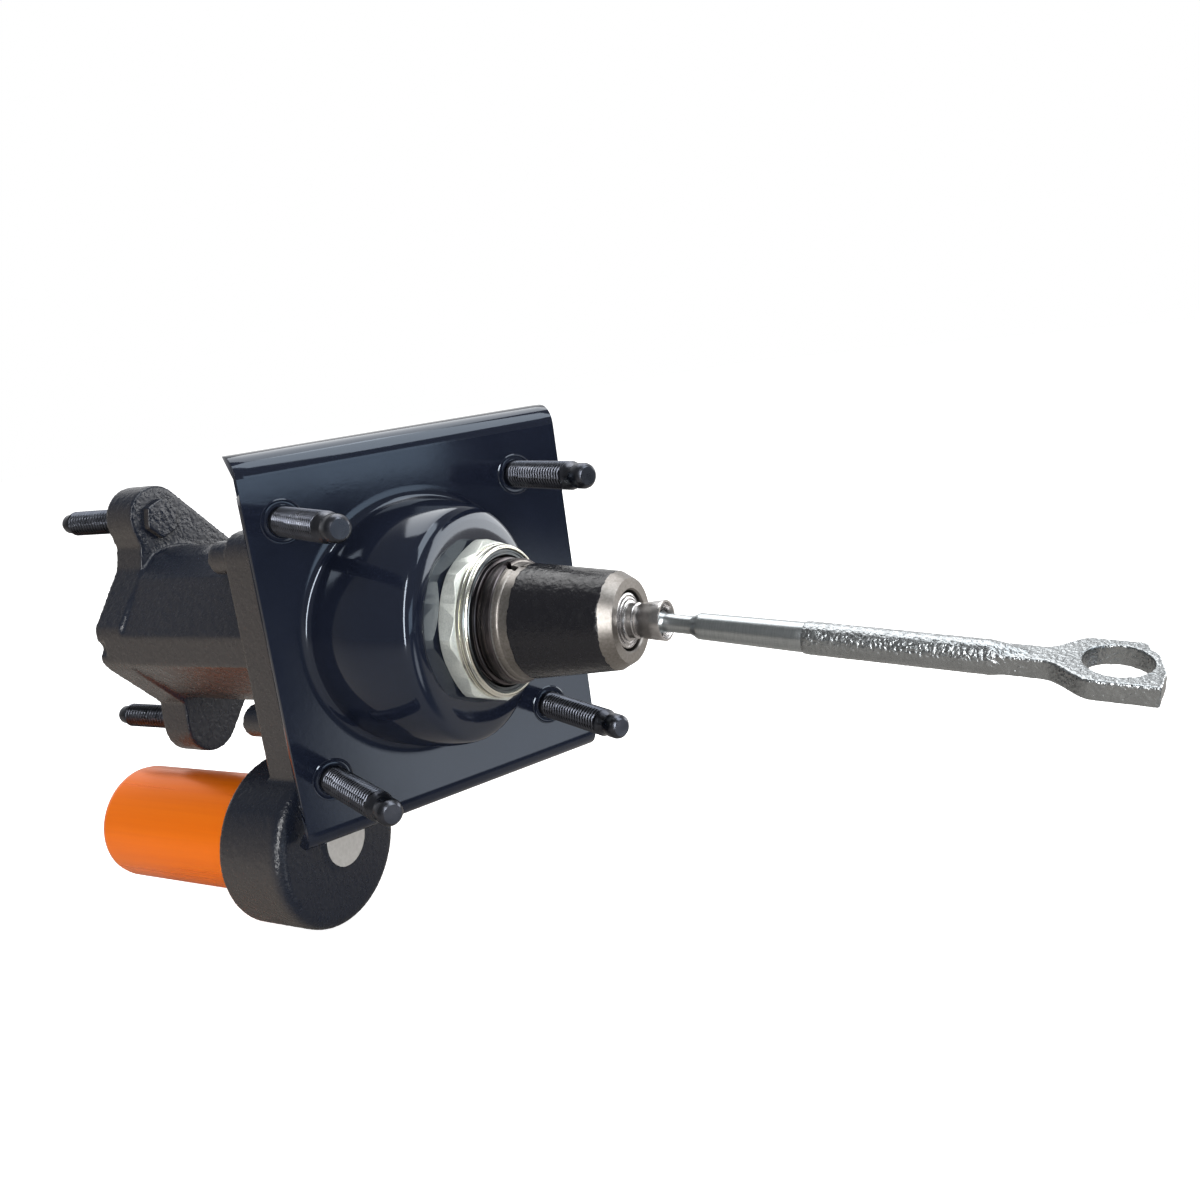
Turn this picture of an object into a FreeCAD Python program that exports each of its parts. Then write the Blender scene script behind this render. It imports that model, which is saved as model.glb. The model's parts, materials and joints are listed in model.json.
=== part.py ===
import FreeCAD, Part
import math
import os

V = FreeCAD.Vector

# A hydraulic brake booster: a cast housing with a gas accumulator, a threaded neck that is clamped
# through a domed steel bracket, and a ball-jointed pushrod to the brake pedal.
# Row frame: origin at the middle of the four firewall studs, on the bracket's rear face,
# +X to the right as seen from the pedal, +Y forward, +Z up. Lengths are in millimetres.
# The booster's own axis is yawed from the bracket. Its pieces are modelled with that axis along Y,
# y = 0 at the bracket, and turned into place by the function booster().

BOOSTER_YAW = 26.2
RUNNING = 0.05
SEATED = 0.02
SLACK = 0.5

# bracket
SHEET = 3.0
PLATE_LEFT = 54.6
PLATE_RIGHT = 61.6
PLATE_TOP = 65.0
PLATE_BOTTOM = 65.5
FLANGE_TOP_DEPTH = 11.0
FLANGE_BOTTOM_DEPTH = 7.0
FLANGE_BEND = 7.0
SEAT_Y = 23.5
DOME_BASE_LEFT = 46.0
DOME_BASE_RIGHT = 43.0
DOME_BASE_HALF_HEIGHT = 46.5
DOME_FLARE = 4.6
DOME_WALL_INSET = 5.5
SEAT_FLAT_LEFT = 33.5
SEAT_FLAT_RIGHT = 27.5
CREST_RADIUS = 8.0
CREST_DROP = 9.0
FREE_CORNER_RADIUS = 2.5
OVAL_POINTS = 20

# firewall studs
STUD_SPACING = 85.725
STUD_RADIUS = 4.7625
STUD_LENGTH = 44.4
STUD_DOG_RADIUS = 4.1
STUD_DOG_LENGTH = 8.0
STUD_NECK_RADIUS = 3.5
STUD_HEAD_RADIUS = 8.0
STUD_HEAD_THICK = 3.5
STUD_PRESS_RADIUS = 5.2

# neck and nut
THREAD_RADIUS = 20.8
THREAD_END = 33.5
GROOVE_RADIUS = 19.4
GROOVE_END = 35.0
COLLAR_RADIUS = 20.3
COLLAR_END = 38.6
STEP_RADIUS = 18.9
STEP_END = 40.6
KEY_SLOT_X = -4.0
KEY_SLOT_WIDTH = 2.6
KEY_SLOT_START = 37.2
KEY_SLOT_END = 41.6
KEY_SLOT_FLOOR = 16.7
SLEEVE_ROOT_RADIUS = 18.2
SLEEVE_TIP_RADIUS = 15.5
SLEEVE_TIP_Y = 73.4
NECK_END_Y = 77.5
NECK_END_RADIUS = 13.4
NECK_MOUTH_RADIUS = 9.4
SHOULDER_RADIUS = 27.0
NUT_SIDES = 8
NUT_FLATS = 51.0
NUT_HEIGHT = 6.0
NUT_COLLAR_HEIGHT = 3.4
NUT_COLLAR_RADIUS = 25.2
NUT_COLLAR_GROOVE = 0.5
NUT_COLLAR_TIER = 1.5
NUT_MOUTH_RADIUS = 21.5
NUT_CHAMFER = 2.0
NUT_BLANK_RADIUS = 27.1
NUT_TURN = 22.5
NECK_BORE_RADIUS = 11.0
NECK_BORE_REAR = 60.0
NECK_BORE_FRONT = 24.0
BUSH_REAR = 44.0
BUSH_FRONT = 28.0
LIP_SEAL_REAR = 55.0
LIP_SEAL_FRONT = 48.0
SEAL_WASHER_THICK = 2.2

# rear cover flange and its bolts
COVER_THICK = 8.0
COVER_BOLT_RADIUS = 4.0
COVER_BOLT_HEAD_FLATS = 12.7
COVER_BOLT_HEAD_HEIGHT = 5.6
COVER_BOLT_SPOTS = [(-24.5, 29.4), (-24.5, -29.4), (27.0, 30.0), (27.0, -30.0), (55.0, 0.0)]
COVER_BOLT_END = 60.0
COVER_EAR_RADIUS = 8.5
COVER_HOLLOW_RADIUS = 16.0
COVER_HOLLOW_START = 26.0
COVER_GROOVE_OUTER = 21.0
COVER_GROOVE_INNER = 18.6
COVER_GROOVE_DEPTH = 2.0
BOLT_BOSS_RADIUS = 5.8
BOLT_BOSS_LENGTH = 12.0

# housing casting
SLAB_REAR = 37.0
SLAB_THICK = 15.0
SLAB_LEFT = 34.5
ARM_RIGHT = 6.0
SLAB_TOP = 38.5
SLAB_CORNER = 8.0
SLAB_RIGHT = 65.0
BARREL_RADIUS = 29.5
MC_FACE = 130.0
MC_FLANGE_THICK = 14.0
BAND_X = 30.5
BAND_TOP = 2.7
BAND_BOTTOM = 8.0
FACET_X = 17.5
FACET_TOP = 21.5
LOW_FACET_X = 13.5
LOW_FACET_Z = 24.0
NOTCH_RADIUS = 3.4
NOTCH_LENGTH = 4.0
BARREL_REACH = 31.0
WAIST_X = 15.2
WAIST_Z = 24.5
VALVE_X = 36.0
VALVE_RIDGE_RADIUS = 14.0
EAR_RADIUS = 12.5
EAR_SHOULDER_DROP = 6.0
EAR_NECK_DROP = 8.7024
LOW_EAR_NECK_RISE = 11.0024
MC_SPACING = 82.55
MC_ROLL = 3.4
MC_STUD_LENGTH = 38.0
MC_STUD_HEAD_FLATS = 13.4
MC_STUD_HEAD_HEIGHT = 2.6
MC_STUD_BLIND_WALL = 3.0
SNOUT_RADIUS = 19.0
SNOUT_DEPTH = 12.0
PISTON_BORE = 19.0
SPRING_WALL = 6.0
ROD_HOLE_RADIUS = 9.0
LEVER_POCKET_HALF_HEIGHT = 10.0
LEVER_POCKET_END = 80.0

# accumulator
ACC_X = -22.0
ACC_Z = -75.0
BOSS_RADIUS = 30.5
BOSS_LENGTH = 29.0
BOSS_EDGE = 4.5
CAN_RADIUS = 21.2
CAN_WALL = 3.0
CAN_END = 137.0
CAN_SOCKET_DEPTH = 19.0
CAN_EDGE = 3.5
ACC_PISTON_LENGTH = 16.0
ACC_PISTON_AHEAD = 10.0
ACC_PISTON_WALL = 4.0
ACC_GROOVE_START = 4.0
ACC_GROOVE_END = 7.0
ACC_GROOVE_DEPTH = 2.0
FILL_PLUG_RADIUS = 7.0
FILL_PLUG_HEX = 5.0
RETAINING_RING_WIDTH = 3.2
RETAINING_RING_THICK = 1.8
FEED_RADIUS = 3.0
FEED_DRILL_START = 6.5
FEED_DRILL_LENGTH = 60.0
PATCH_RADIUS = 9.3
PATCH_PROUD = 0.3
PATCH_X = -21.5
PATCH_Z = -74.5

# moving pieces
INPUT_RADIUS = 8.7
INPUT_DISC_Y = 76.6
SOCKET_NECK_RADIUS = 5.35
CUP_START = 80.6
CUP_RIM = 89.4
CUP_BACK_RADIUS = 5.3
CUP_RIM_RADIUS = 6.3
BALL_Y = 83.0
BALL_RADIUS = 3.7
LINER_WALL = 0.7
LEVER_Y = 45.0
LEVER_THICK = 5.0
LEVER_PIN_X = -8.0
LEVER_HALF_HEIGHT = 5.0
LEVER_RING_RADIUS = 7.0
LEVER_PIN_RADIUS = 2.0
LEVER_SIDE_GAP = 0.3
PISTON_EAR_THICK = 3.0
PIN_HOLE_REACH = 20.0
PISTON_EAR_HALF_WIDTH = 4.0
ROD_NOSE_GAP = 0.3
ROD_NOSE_RADIUS = 3.6
PISTON_REAR = 52.5
PISTON_LAND_START = 78.0
PISTON_LAND_END = 86.0
PISTON_SKIRT = 16.5
PISTON_CUP_RADIUS = 13.6
PISTON_WALL = 7.0
SEAL_WIDTH = 3.4
SEAL_DEPTH = 2.4
ROD_SOCKET_DEPTH = 4.0
OUTPUT_ROD_RADIUS = 5.0
RETAINER_EDGE_GAP = 5.0
OUTPUT_ROD_TIP = 117.0
WIRE_SIDES = 8
RETURN_WIRE = 2.4
RETURN_COIL_RADIUS = 11.6
RETURN_TURNS = 7.0
STEM_RADIUS = 2.4
STEM_REAR = 40.8
SPOOL_RADIUS = 5.0
SPOOL_START = 83.5
SPOOL_END = 110.0
SPOOL_WAISTS = [(89.0, 93.0), (98.0, 103.0)]
SPOOL_WAIST_DEPTH = 1.6
SLEEVE_WALL = 3.0
SLEEVE_PORT_RADIUS = 1.5
SLEEVE_START = 84.5
SLEEVE_END = 114.0
FOLLOWER_RADIUS = 5.8
FOLLOWER_LENGTH = 4.0
SPOOL_WIRE = 0.8
SPOOL_COIL_RADIUS = 4.0
SPOOL_TURNS = 6.0
PLUG_SOCKET_FLATS = 8.0
PLUG_SOCKET_DEPTH = 6.0
PLUG_GROOVE_START = 119.0
PLUG_GROOVE_END = 121.0
PLUG_GROOVE_DEPTH = 1.6

# pushrod, measured along its own axis from the ball's centre
ROD_DROOP = 5.9
ROD_ROLL = 9.8
ROD_NECK_RADIUS = 2.8
ROD_NECK_START = 6.2
ROD_NECK_END = 15.0
ROD_SHOULDER_END = 17.2
ROD_TURNED_START_RADIUS = 4.0
ROD_TURNED_END_RADIUS = 4.45
ROD_TURNED_END = 48.7
ROD_FORGED_RADIUS = 4.8
ROD_FORGED_END = 100.0
EYE_AT = 130.3
EYE_HOLE_RADIUS = 8.5
EYE_HALF_WIDTH = 12.0
EYE_END = 10.8
EYE_THICK = 5.8
EYE_NICK = 4.6
EYE_FLARE_START = 113.0
EYE_SQUARE_START = 125.6

# ports
PORT_RADIUS = 6.5
PORT_DEPTH = 11.0
PORT_BOSS_RADIUS = 8.7
PORT_FACE_X = 61.0
PORT_SEAT_RADIUS = 4.5
PORT_SEAT_DEPTH = 4.0
PORT_DRILLING = 1.4
PORT_SPOTS = [90.5, 108.0]
NIPPLE_RADIUS = 4.8
NIPPLE_SEAT_RADIUS = 5.4
NIPPLE_BORE = 3.2
NIPPLE_Y = 87.0
NIPPLE_TOP_Z = -10.0
NIPPLE_BOSS_Z = -19.0
NIPPLE_BOSS_RADIUS = 9.0
NIPPLE_END_Z = -31.0

BARREL_FRONT = MC_FACE - MC_FLANGE_THICK
SLAB_FRONT = SLAB_REAR + SLAB_THICK
COVER_REAR = SLAB_REAR - COVER_THICK
SHOULDER_Y = SEAT_Y - SHEET
BOSS_FRONT = SLAB_REAR + BOSS_LENGTH
CAN_REAR = BOSS_FRONT - CAN_SOCKET_DEPTH
SNOUT_FLOOR = MC_FACE - SNOUT_DEPTH
SPRING_SEAT = SNOUT_FLOOR - SPRING_WALL
PISTON_CUP_FLOOR = PISTON_REAR + PISTON_WALL
LEVER_REAR = LEVER_Y - LEVER_THICK / 2
LEVER_FRONT = LEVER_Y + LEVER_THICK / 2
FOLLOWER_REAR = LEVER_FRONT + SLACK


def booster(shape):
    """Turn a piece from the booster's own frame into the row frame."""
    placed = shape.copy()
    placed.rotate(V(0, 0, 0), V(0, 0, 1), BOOSTER_YAW)
    return placed


def turned(points, x=0.0, z=0.0):
    """A solid of revolution about the line along Y through (x, z), from (radius, y) points."""
    ring = points + [points[0]]
    wire = Part.makePolygon([V(x + r, y, z) for r, y in ring])
    return Part.Face(wire).revolve(V(x, 0, z), V(0, 1, 0), 360)


def bar(radius, start, end, x=0.0, z=0.0):
    """A round bar along Y."""
    return Part.makeCylinder(radius, end - start, V(x, start, z), V(0, 1, 0))


def tube(outer, inner, start, end, x=0.0, z=0.0):
    """A round tube along Y."""
    return bar(outer, start, end, x, z).cut(bar(inner, start, end, x, z))


def box(x0, x1, y0, y1, z0, z1):
    """A block between two corners."""
    return Part.makeBox(x1 - x0, y1 - y0, z1 - z0, V(x0, y0, z0))


def plate_y(points, start, end):
    """A flat plate from (x, z) corners, from y = start to y = end."""
    ring = points + [points[0]]
    wire = Part.makePolygon([V(x, start, z) for x, z in ring])
    return Part.Face(wire).extrude(V(0, end - start, 0))


def prism(sides, flats, start, end, turn, x=0.0, z=0.0):
    """A regular prism along Y, sized across its flats."""
    corner = flats / 2 / math.cos(math.pi / sides)
    step = 2 * math.pi / sides
    points = []
    for i in range(sides):
        angle = (i + 0.5) * step + math.radians(turn)
        points.append((x + corner * math.cos(angle), z + corner * math.sin(angle)))
    return plate_y(points, start, end)


def hull_of_two(centre_a, radius_a, centre_b, radius_b, start, end):
    """Two round bosses along Y joined by their outer tangents."""
    ax, az = centre_a
    bx, bz = centre_b
    gap = math.hypot(bx - ax, bz - az)
    along = math.atan2(bz - az, bx - ax)
    lean = math.acos((radius_a - radius_b) / gap)
    points = []
    for side in (1, -1):
        angle = along + side * lean
        a = (ax + radius_a * math.cos(angle), az + radius_a * math.sin(angle))
        b = (bx + radius_b * math.cos(angle), bz + radius_b * math.sin(angle))
        points += [a, b] if side == 1 else [b, a]
    web = plate_y(points, start, end)
    ends = bar(radius_a, start, end, ax, az).fuse(bar(radius_b, start, end, bx, bz))
    return ends.fuse(web)


def edges_at(shape, test):
    """The edges whose middle point passes a test."""
    found = []
    for edge in shape.Edges:
        middle = edge.valueAt((edge.FirstParameter + edge.LastParameter) / 2)
        if test(middle):
            found.append(edge)
    return found


def coil(radius, wire_radius, start, end, turns, x=0.0, z=0.0):
    """A coil spring along Y between two seats, with the ends a wire's radius inside them.
    The wire's section is a polygon, to keep its facets few."""
    height = end - start - 2 * wire_radius
    path = Part.makeHelix(height / turns, height, radius)
    points = []
    for i in range(WIRE_SIDES):
        angle = 2 * math.pi * i / WIRE_SIDES
        points.append(V(radius + wire_radius * math.cos(angle), 0, wire_radius * math.sin(angle)))
    section = Part.makePolygon(points + [points[0]])
    spring = Part.Wire(path.Edges).makePipeShell([section], True, True)
    spring.rotate(V(0, 0, 0), V(1, 0, 0), -90)
    spring.translate(V(x, start + wire_radius, z))
    return spring


def dome(inset, shift):
    """The bracket's slanted dome, as a stack of ovals that fan out from the line where the plane
    of the nut's seat meets the bracket. The inset makes the inner face of the pressed sheet."""
    yaw = math.radians(BOOSTER_YAW)
    fold_x = SEAT_Y / math.sin(yaw)
    axis_to_fold = SEAT_Y / math.tan(yaw)
    flat_far = axis_to_fold + SEAT_FLAT_LEFT
    flat_near = axis_to_fold - SEAT_FLAT_RIGHT
    base_far = fold_x + DOME_BASE_LEFT
    base_near = fold_x - DOME_BASE_RIGHT
    wall_far = base_far - DOME_FLARE
    crest_far = flat_far + CREST_RADIUS
    flare = DOME_FLARE
    base_height = DOME_BASE_HALF_HEIGHT
    wall_height = base_height - DOME_WALL_INSET
    rows = [
        (0.0, base_far, base_near, base_height),
        (0.035, base_far - 0.65 * flare, base_near + 0.5, base_height - 0.65 * flare),
        (0.12, wall_far - 0.6, base_near + 1.4, wall_height + 0.4),
        (0.42, wall_far - 2.0, base_near + 2.4, wall_height - 0.2),
        (0.76, crest_far - 0.4, base_near + 3.8, wall_height - 1.2),
        (0.93, crest_far - 0.33 * CREST_RADIUS, base_near + 5.6, wall_height - 3.6),
        (1.0, flat_far, flat_near, wall_height - CREST_DROP),
    ]
    wires = []
    for share, far, near, half_height in rows:
        angle = share * yaw
        middle = (far + near) / 2
        half_width = (far - near) / 2 - inset
        points = []
        for i in range(OVAL_POINTS):
            turn = 2 * math.pi * i / OVAL_POINTS
            out = middle + half_width * math.sin(turn)
            up = (half_height - inset) * math.cos(turn)
            points.append(V(fold_x - out * math.cos(angle), shift - out * math.sin(angle), up))
        oval = Part.BSplineCurve()
        oval.interpolate(Points=points, PeriodicFlag=True)
        wires.append(Part.Wire([oval.toShape()]))
    return Part.makeLoft(wires, True, False)


def stud_spots():
    """The four firewall stud centres."""
    half = STUD_SPACING / 2
    return [(x, z) for x in (-half, half) for z in (-half, half)]


def mounting_bracket():
    """Pressed steel plate with bent top and bottom edges and the slanted dome."""
    bend = FLANGE_BEND
    inner = bend - SHEET
    top = PLATE_TOP
    low = -PLATE_BOTTOM
    c = math.cos(math.pi / 4)

    def p(y, z):
        return V(-PLATE_LEFT, y, z)

    edges = [
        Part.makeLine(p(FLANGE_TOP_DEPTH, top), p(bend, top)),
        Part.Arc(p(bend, top), p(bend - bend * c, top - bend + bend * c), p(0, top - bend)).toShape(),
        Part.makeLine(p(0, top - bend), p(0, low + bend)),
        Part.Arc(p(0, low + bend), p(bend - bend * c, low + bend - bend * c), p(bend, low)).toShape(),
        Part.makeLine(p(bend, low), p(FLANGE_BOTTOM_DEPTH + bend, low)),
        Part.makeLine(p(FLANGE_BOTTOM_DEPTH + bend, low), p(FLANGE_BOTTOM_DEPTH + bend, low + SHEET)),
        Part.makeLine(p(FLANGE_BOTTOM_DEPTH + bend, low + SHEET), p(bend, low + SHEET)),
        Part.Arc(p(bend, low + SHEET), p(bend - inner * c, low + bend - inner * c),
                 p(SHEET, low + bend)).toShape(),
        Part.makeLine(p(SHEET, low + bend), p(SHEET, top - bend)),
        Part.Arc(p(SHEET, top - bend), p(bend - inner * c, top - bend + inner * c),
                 p(bend, top - SHEET)).toShape(),
        Part.makeLine(p(bend, top - SHEET), p(FLANGE_TOP_DEPTH, top - SHEET)),
        Part.makeLine(p(FLANGE_TOP_DEPTH, top - SHEET), p(FLANGE_TOP_DEPTH, top)),
    ]
    plate = Part.Face(Part.Wire(edges)).extrude(V(PLATE_LEFT + PLATE_RIGHT, 0, 0))
    free_edges = (FLANGE_TOP_DEPTH, FLANGE_BOTTOM_DEPTH + FLANGE_BEND)
    corners = edges_at(plate, lambda m: min(abs(m.y - f) for f in free_edges) < 0.01
                       and (abs(m.x + PLATE_LEFT) < 0.01 or abs(m.x - PLATE_RIGHT) < 0.01))
    plate = plate.makeFillet(FREE_CORNER_RADIUS, corners)
    shell = plate.fuse(dome(0.0, 0.0))
    shell = shell.cut(dome(SHEET, SHEET / math.cos(math.radians(BOOSTER_YAW))))
    shell = shell.cut(booster(bar(THREAD_RADIUS + 0.4, -SEAT_Y - 5, 10)))
    for x, z in stud_spots():
        shell = shell.cut(bar(STUD_PRESS_RADIUS + SEATED, -1, SHEET + 1, x, z))
    return shell.removeSplitter()


def firewall_studs():
    """Four press-in studs with a round head behind the sheet and a dog point."""
    dog_start = -STUD_LENGTH + STUD_DOG_LENGTH
    solids = []
    for x, z in stud_spots():
        solids.append(turned([
            (0, SHEET + STUD_HEAD_THICK),
            (STUD_HEAD_RADIUS - 1, SHEET + STUD_HEAD_THICK),
            (STUD_HEAD_RADIUS, SHEET + STUD_HEAD_THICK - 1),
            (STUD_HEAD_RADIUS, SHEET + SEATED),
            (STUD_PRESS_RADIUS, SHEET + SEATED),
            (STUD_PRESS_RADIUS, 0),
            (STUD_RADIUS, 0),
            (STUD_RADIUS, dog_start + 0.9),
            (STUD_NECK_RADIUS, dog_start),
            (STUD_NECK_RADIUS, dog_start - 1.2),
            (STUD_DOG_RADIUS, dog_start - 2.2),
            (STUD_DOG_RADIUS, -STUD_LENGTH + 1.2),
            (STUD_DOG_RADIUS - 1.2, -STUD_LENGTH),
            (0, -STUD_LENGTH),
        ], x, z))
    return Part.makeCompound(solids)


def bracket_nut():
    """Eight-sided zinc-plated nut that clamps the bracket to the cover's shoulder."""
    front = -SEAT_Y - NUT_HEIGHT
    corner = NUT_FLATS / 2 / math.cos(math.pi / NUT_SIDES)
    body = prism(NUT_SIDES, NUT_FLATS, front, -SEAT_Y, NUT_TURN)
    cone = turned([
        (0, -SEAT_Y),
        (corner - NUT_CHAMFER, -SEAT_Y),
        (NUT_BLANK_RADIUS, -SEAT_Y - NUT_CHAMFER * 0.55),
        (NUT_BLANK_RADIUS, front + NUT_CHAMFER * 0.55),
        (corner - NUT_CHAMFER, front),
        (0, front),
    ])
    body = body.common(cone)
    rim = NUT_COLLAR_RADIUS
    root = rim - NUT_COLLAR_GROOVE
    tier = NUT_COLLAR_TIER
    collar = turned([
        (0, front),
        (root, front),
        (rim, front - 0.3),
        (rim, front - tier + 0.6),
        (root, front - tier + 0.4),
        (root, front - tier),
        (rim, front - tier - 0.2),
        (rim, front - 2 * tier + 0.3),
        (root, front - 2 * tier + 0.1),
        (root - 0.2, front - NUT_COLLAR_HEIGHT),
        (0, front - NUT_COLLAR_HEIGHT),
    ])
    mouth = turned([
        (0, front - NUT_COLLAR_HEIGHT - 1),
        (NUT_MOUTH_RADIUS + 1, front - NUT_COLLAR_HEIGHT - 1),
        (NUT_MOUTH_RADIUS, front - NUT_COLLAR_HEIGHT),
        (THREAD_RADIUS, front - NUT_COLLAR_HEIGHT + 1.2),
        (0, front - NUT_COLLAR_HEIGHT + 1.2),
    ])
    bored = body.fuse(collar).cut(mouth).cut(bar(THREAD_RADIUS + RUNNING, front - 5, 0))
    return booster(bored.removeSplitter())


def bolt_ears(start, end):
    """The bolt bosses of the cover joint, each joined to the round middle."""
    ears = bar(SHOULDER_RADIUS, start, end)
    for spot in COVER_BOLT_SPOTS:
        ears = ears.fuse(hull_of_two((0, 0), SHOULDER_RADIUS, spot, COVER_EAR_RADIUS, start, end))
    return ears


def rear_cover():
    """Cast cover: bolt flange, shoulder, machined thread and the tapered neck of the input rod."""
    flange = bolt_ears(COVER_REAR, SLAB_REAR)
    neck = turned([
        (0, COVER_REAR + 1),
        (SHOULDER_RADIUS, COVER_REAR + 1),
        (SHOULDER_RADIUS, -SHOULDER_Y),
        (THREAD_RADIUS, -SHOULDER_Y),
        (THREAD_RADIUS, -THREAD_END),
        (GROOVE_RADIUS, -THREAD_END - 0.6),
        (GROOVE_RADIUS, -GROOVE_END),
        (COLLAR_RADIUS, -GROOVE_END - 0.4),
        (COLLAR_RADIUS, -COLLAR_END),
        (STEP_RADIUS, -COLLAR_END - 0.8),
        (STEP_RADIUS, -STEP_END),
        (SLEEVE_ROOT_RADIUS, -STEP_END - 0.8),
        (SLEEVE_TIP_RADIUS, -SLEEVE_TIP_Y),
        (NECK_END_RADIUS, -NECK_END_Y),
        (0, -NECK_END_Y),
    ])
    body = flange.fuse(neck)
    bore = turned([
        (0, -NECK_END_Y - 1),
        (NECK_MOUTH_RADIUS, -NECK_END_Y - 1),
        (NECK_MOUTH_RADIUS, -NECK_BORE_REAR),
        (NECK_BORE_RADIUS, -NECK_BORE_REAR),
        (NECK_BORE_RADIUS, -NECK_BORE_FRONT),
        (NECK_MOUTH_RADIUS, -NECK_BORE_FRONT),
        (NECK_MOUTH_RADIUS, COVER_HOLLOW_START - 6),
        (COVER_HOLLOW_RADIUS, COVER_HOLLOW_START),
        (COVER_HOLLOW_RADIUS, SLAB_REAR + 1),
        (0, SLAB_REAR + 1),
    ])
    body = body.cut(bore)
    for x, z in COVER_BOLT_SPOTS:
        body = body.cut(bar(COVER_BOLT_RADIUS + SEATED, COVER_REAR - 1, SLAB_REAR + 1, x, z))
    groove = tube(COVER_GROOVE_OUTER, COVER_GROOVE_INNER, SLAB_REAR - COVER_GROOVE_DEPTH, SLAB_REAR + 1)
    slot = box(KEY_SLOT_X - KEY_SLOT_WIDTH / 2, KEY_SLOT_X + KEY_SLOT_WIDTH / 2,
               -KEY_SLOT_END, -KEY_SLOT_START, KEY_SLOT_FLOOR, THREAD_RADIUS + 1)
    return booster(body.cut(groove).cut(slot).removeSplitter())


def cover_seal():
    """Rubber ring in the cover's face groove."""
    return booster(tube(COVER_GROOVE_OUTER - RUNNING, COVER_GROOVE_INNER + RUNNING,
                        SLAB_REAR - COVER_GROOVE_DEPTH + RUNNING, SLAB_REAR - SEATED))


def cover_bolts():
    """Hex bolts from the cover's rear face into the housing's bosses."""
    solids = []
    head_end = COVER_REAR - COVER_BOLT_HEAD_HEIGHT
    corner = COVER_BOLT_HEAD_FLATS / 2 / math.cos(math.pi / 6)
    for x, z in COVER_BOLT_SPOTS:
        shank = bar(COVER_BOLT_RADIUS, head_end + 1, COVER_BOLT_END, x, z)
        head = prism(6, COVER_BOLT_HEAD_FLATS, head_end, COVER_REAR - SEATED, 0, x, z)
        dome_cut = turned([(0, COVER_REAR), (corner, COVER_REAR), (corner, head_end + 0.8),
                           (corner - 1.2, head_end), (0, head_end)], x, z)
        solids.append(booster(shank.fuse(head.common(dome_cut)).removeSplitter()))
    return Part.makeCompound(solids)


def ear_spots():
    """The master-cylinder stud centres, upper then lower."""
    roll = math.radians(MC_ROLL)
    half = MC_SPACING / 2
    return [(-half * math.sin(roll), half * math.cos(roll)), (half * math.sin(roll), -half * math.cos(roll))]


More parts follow.
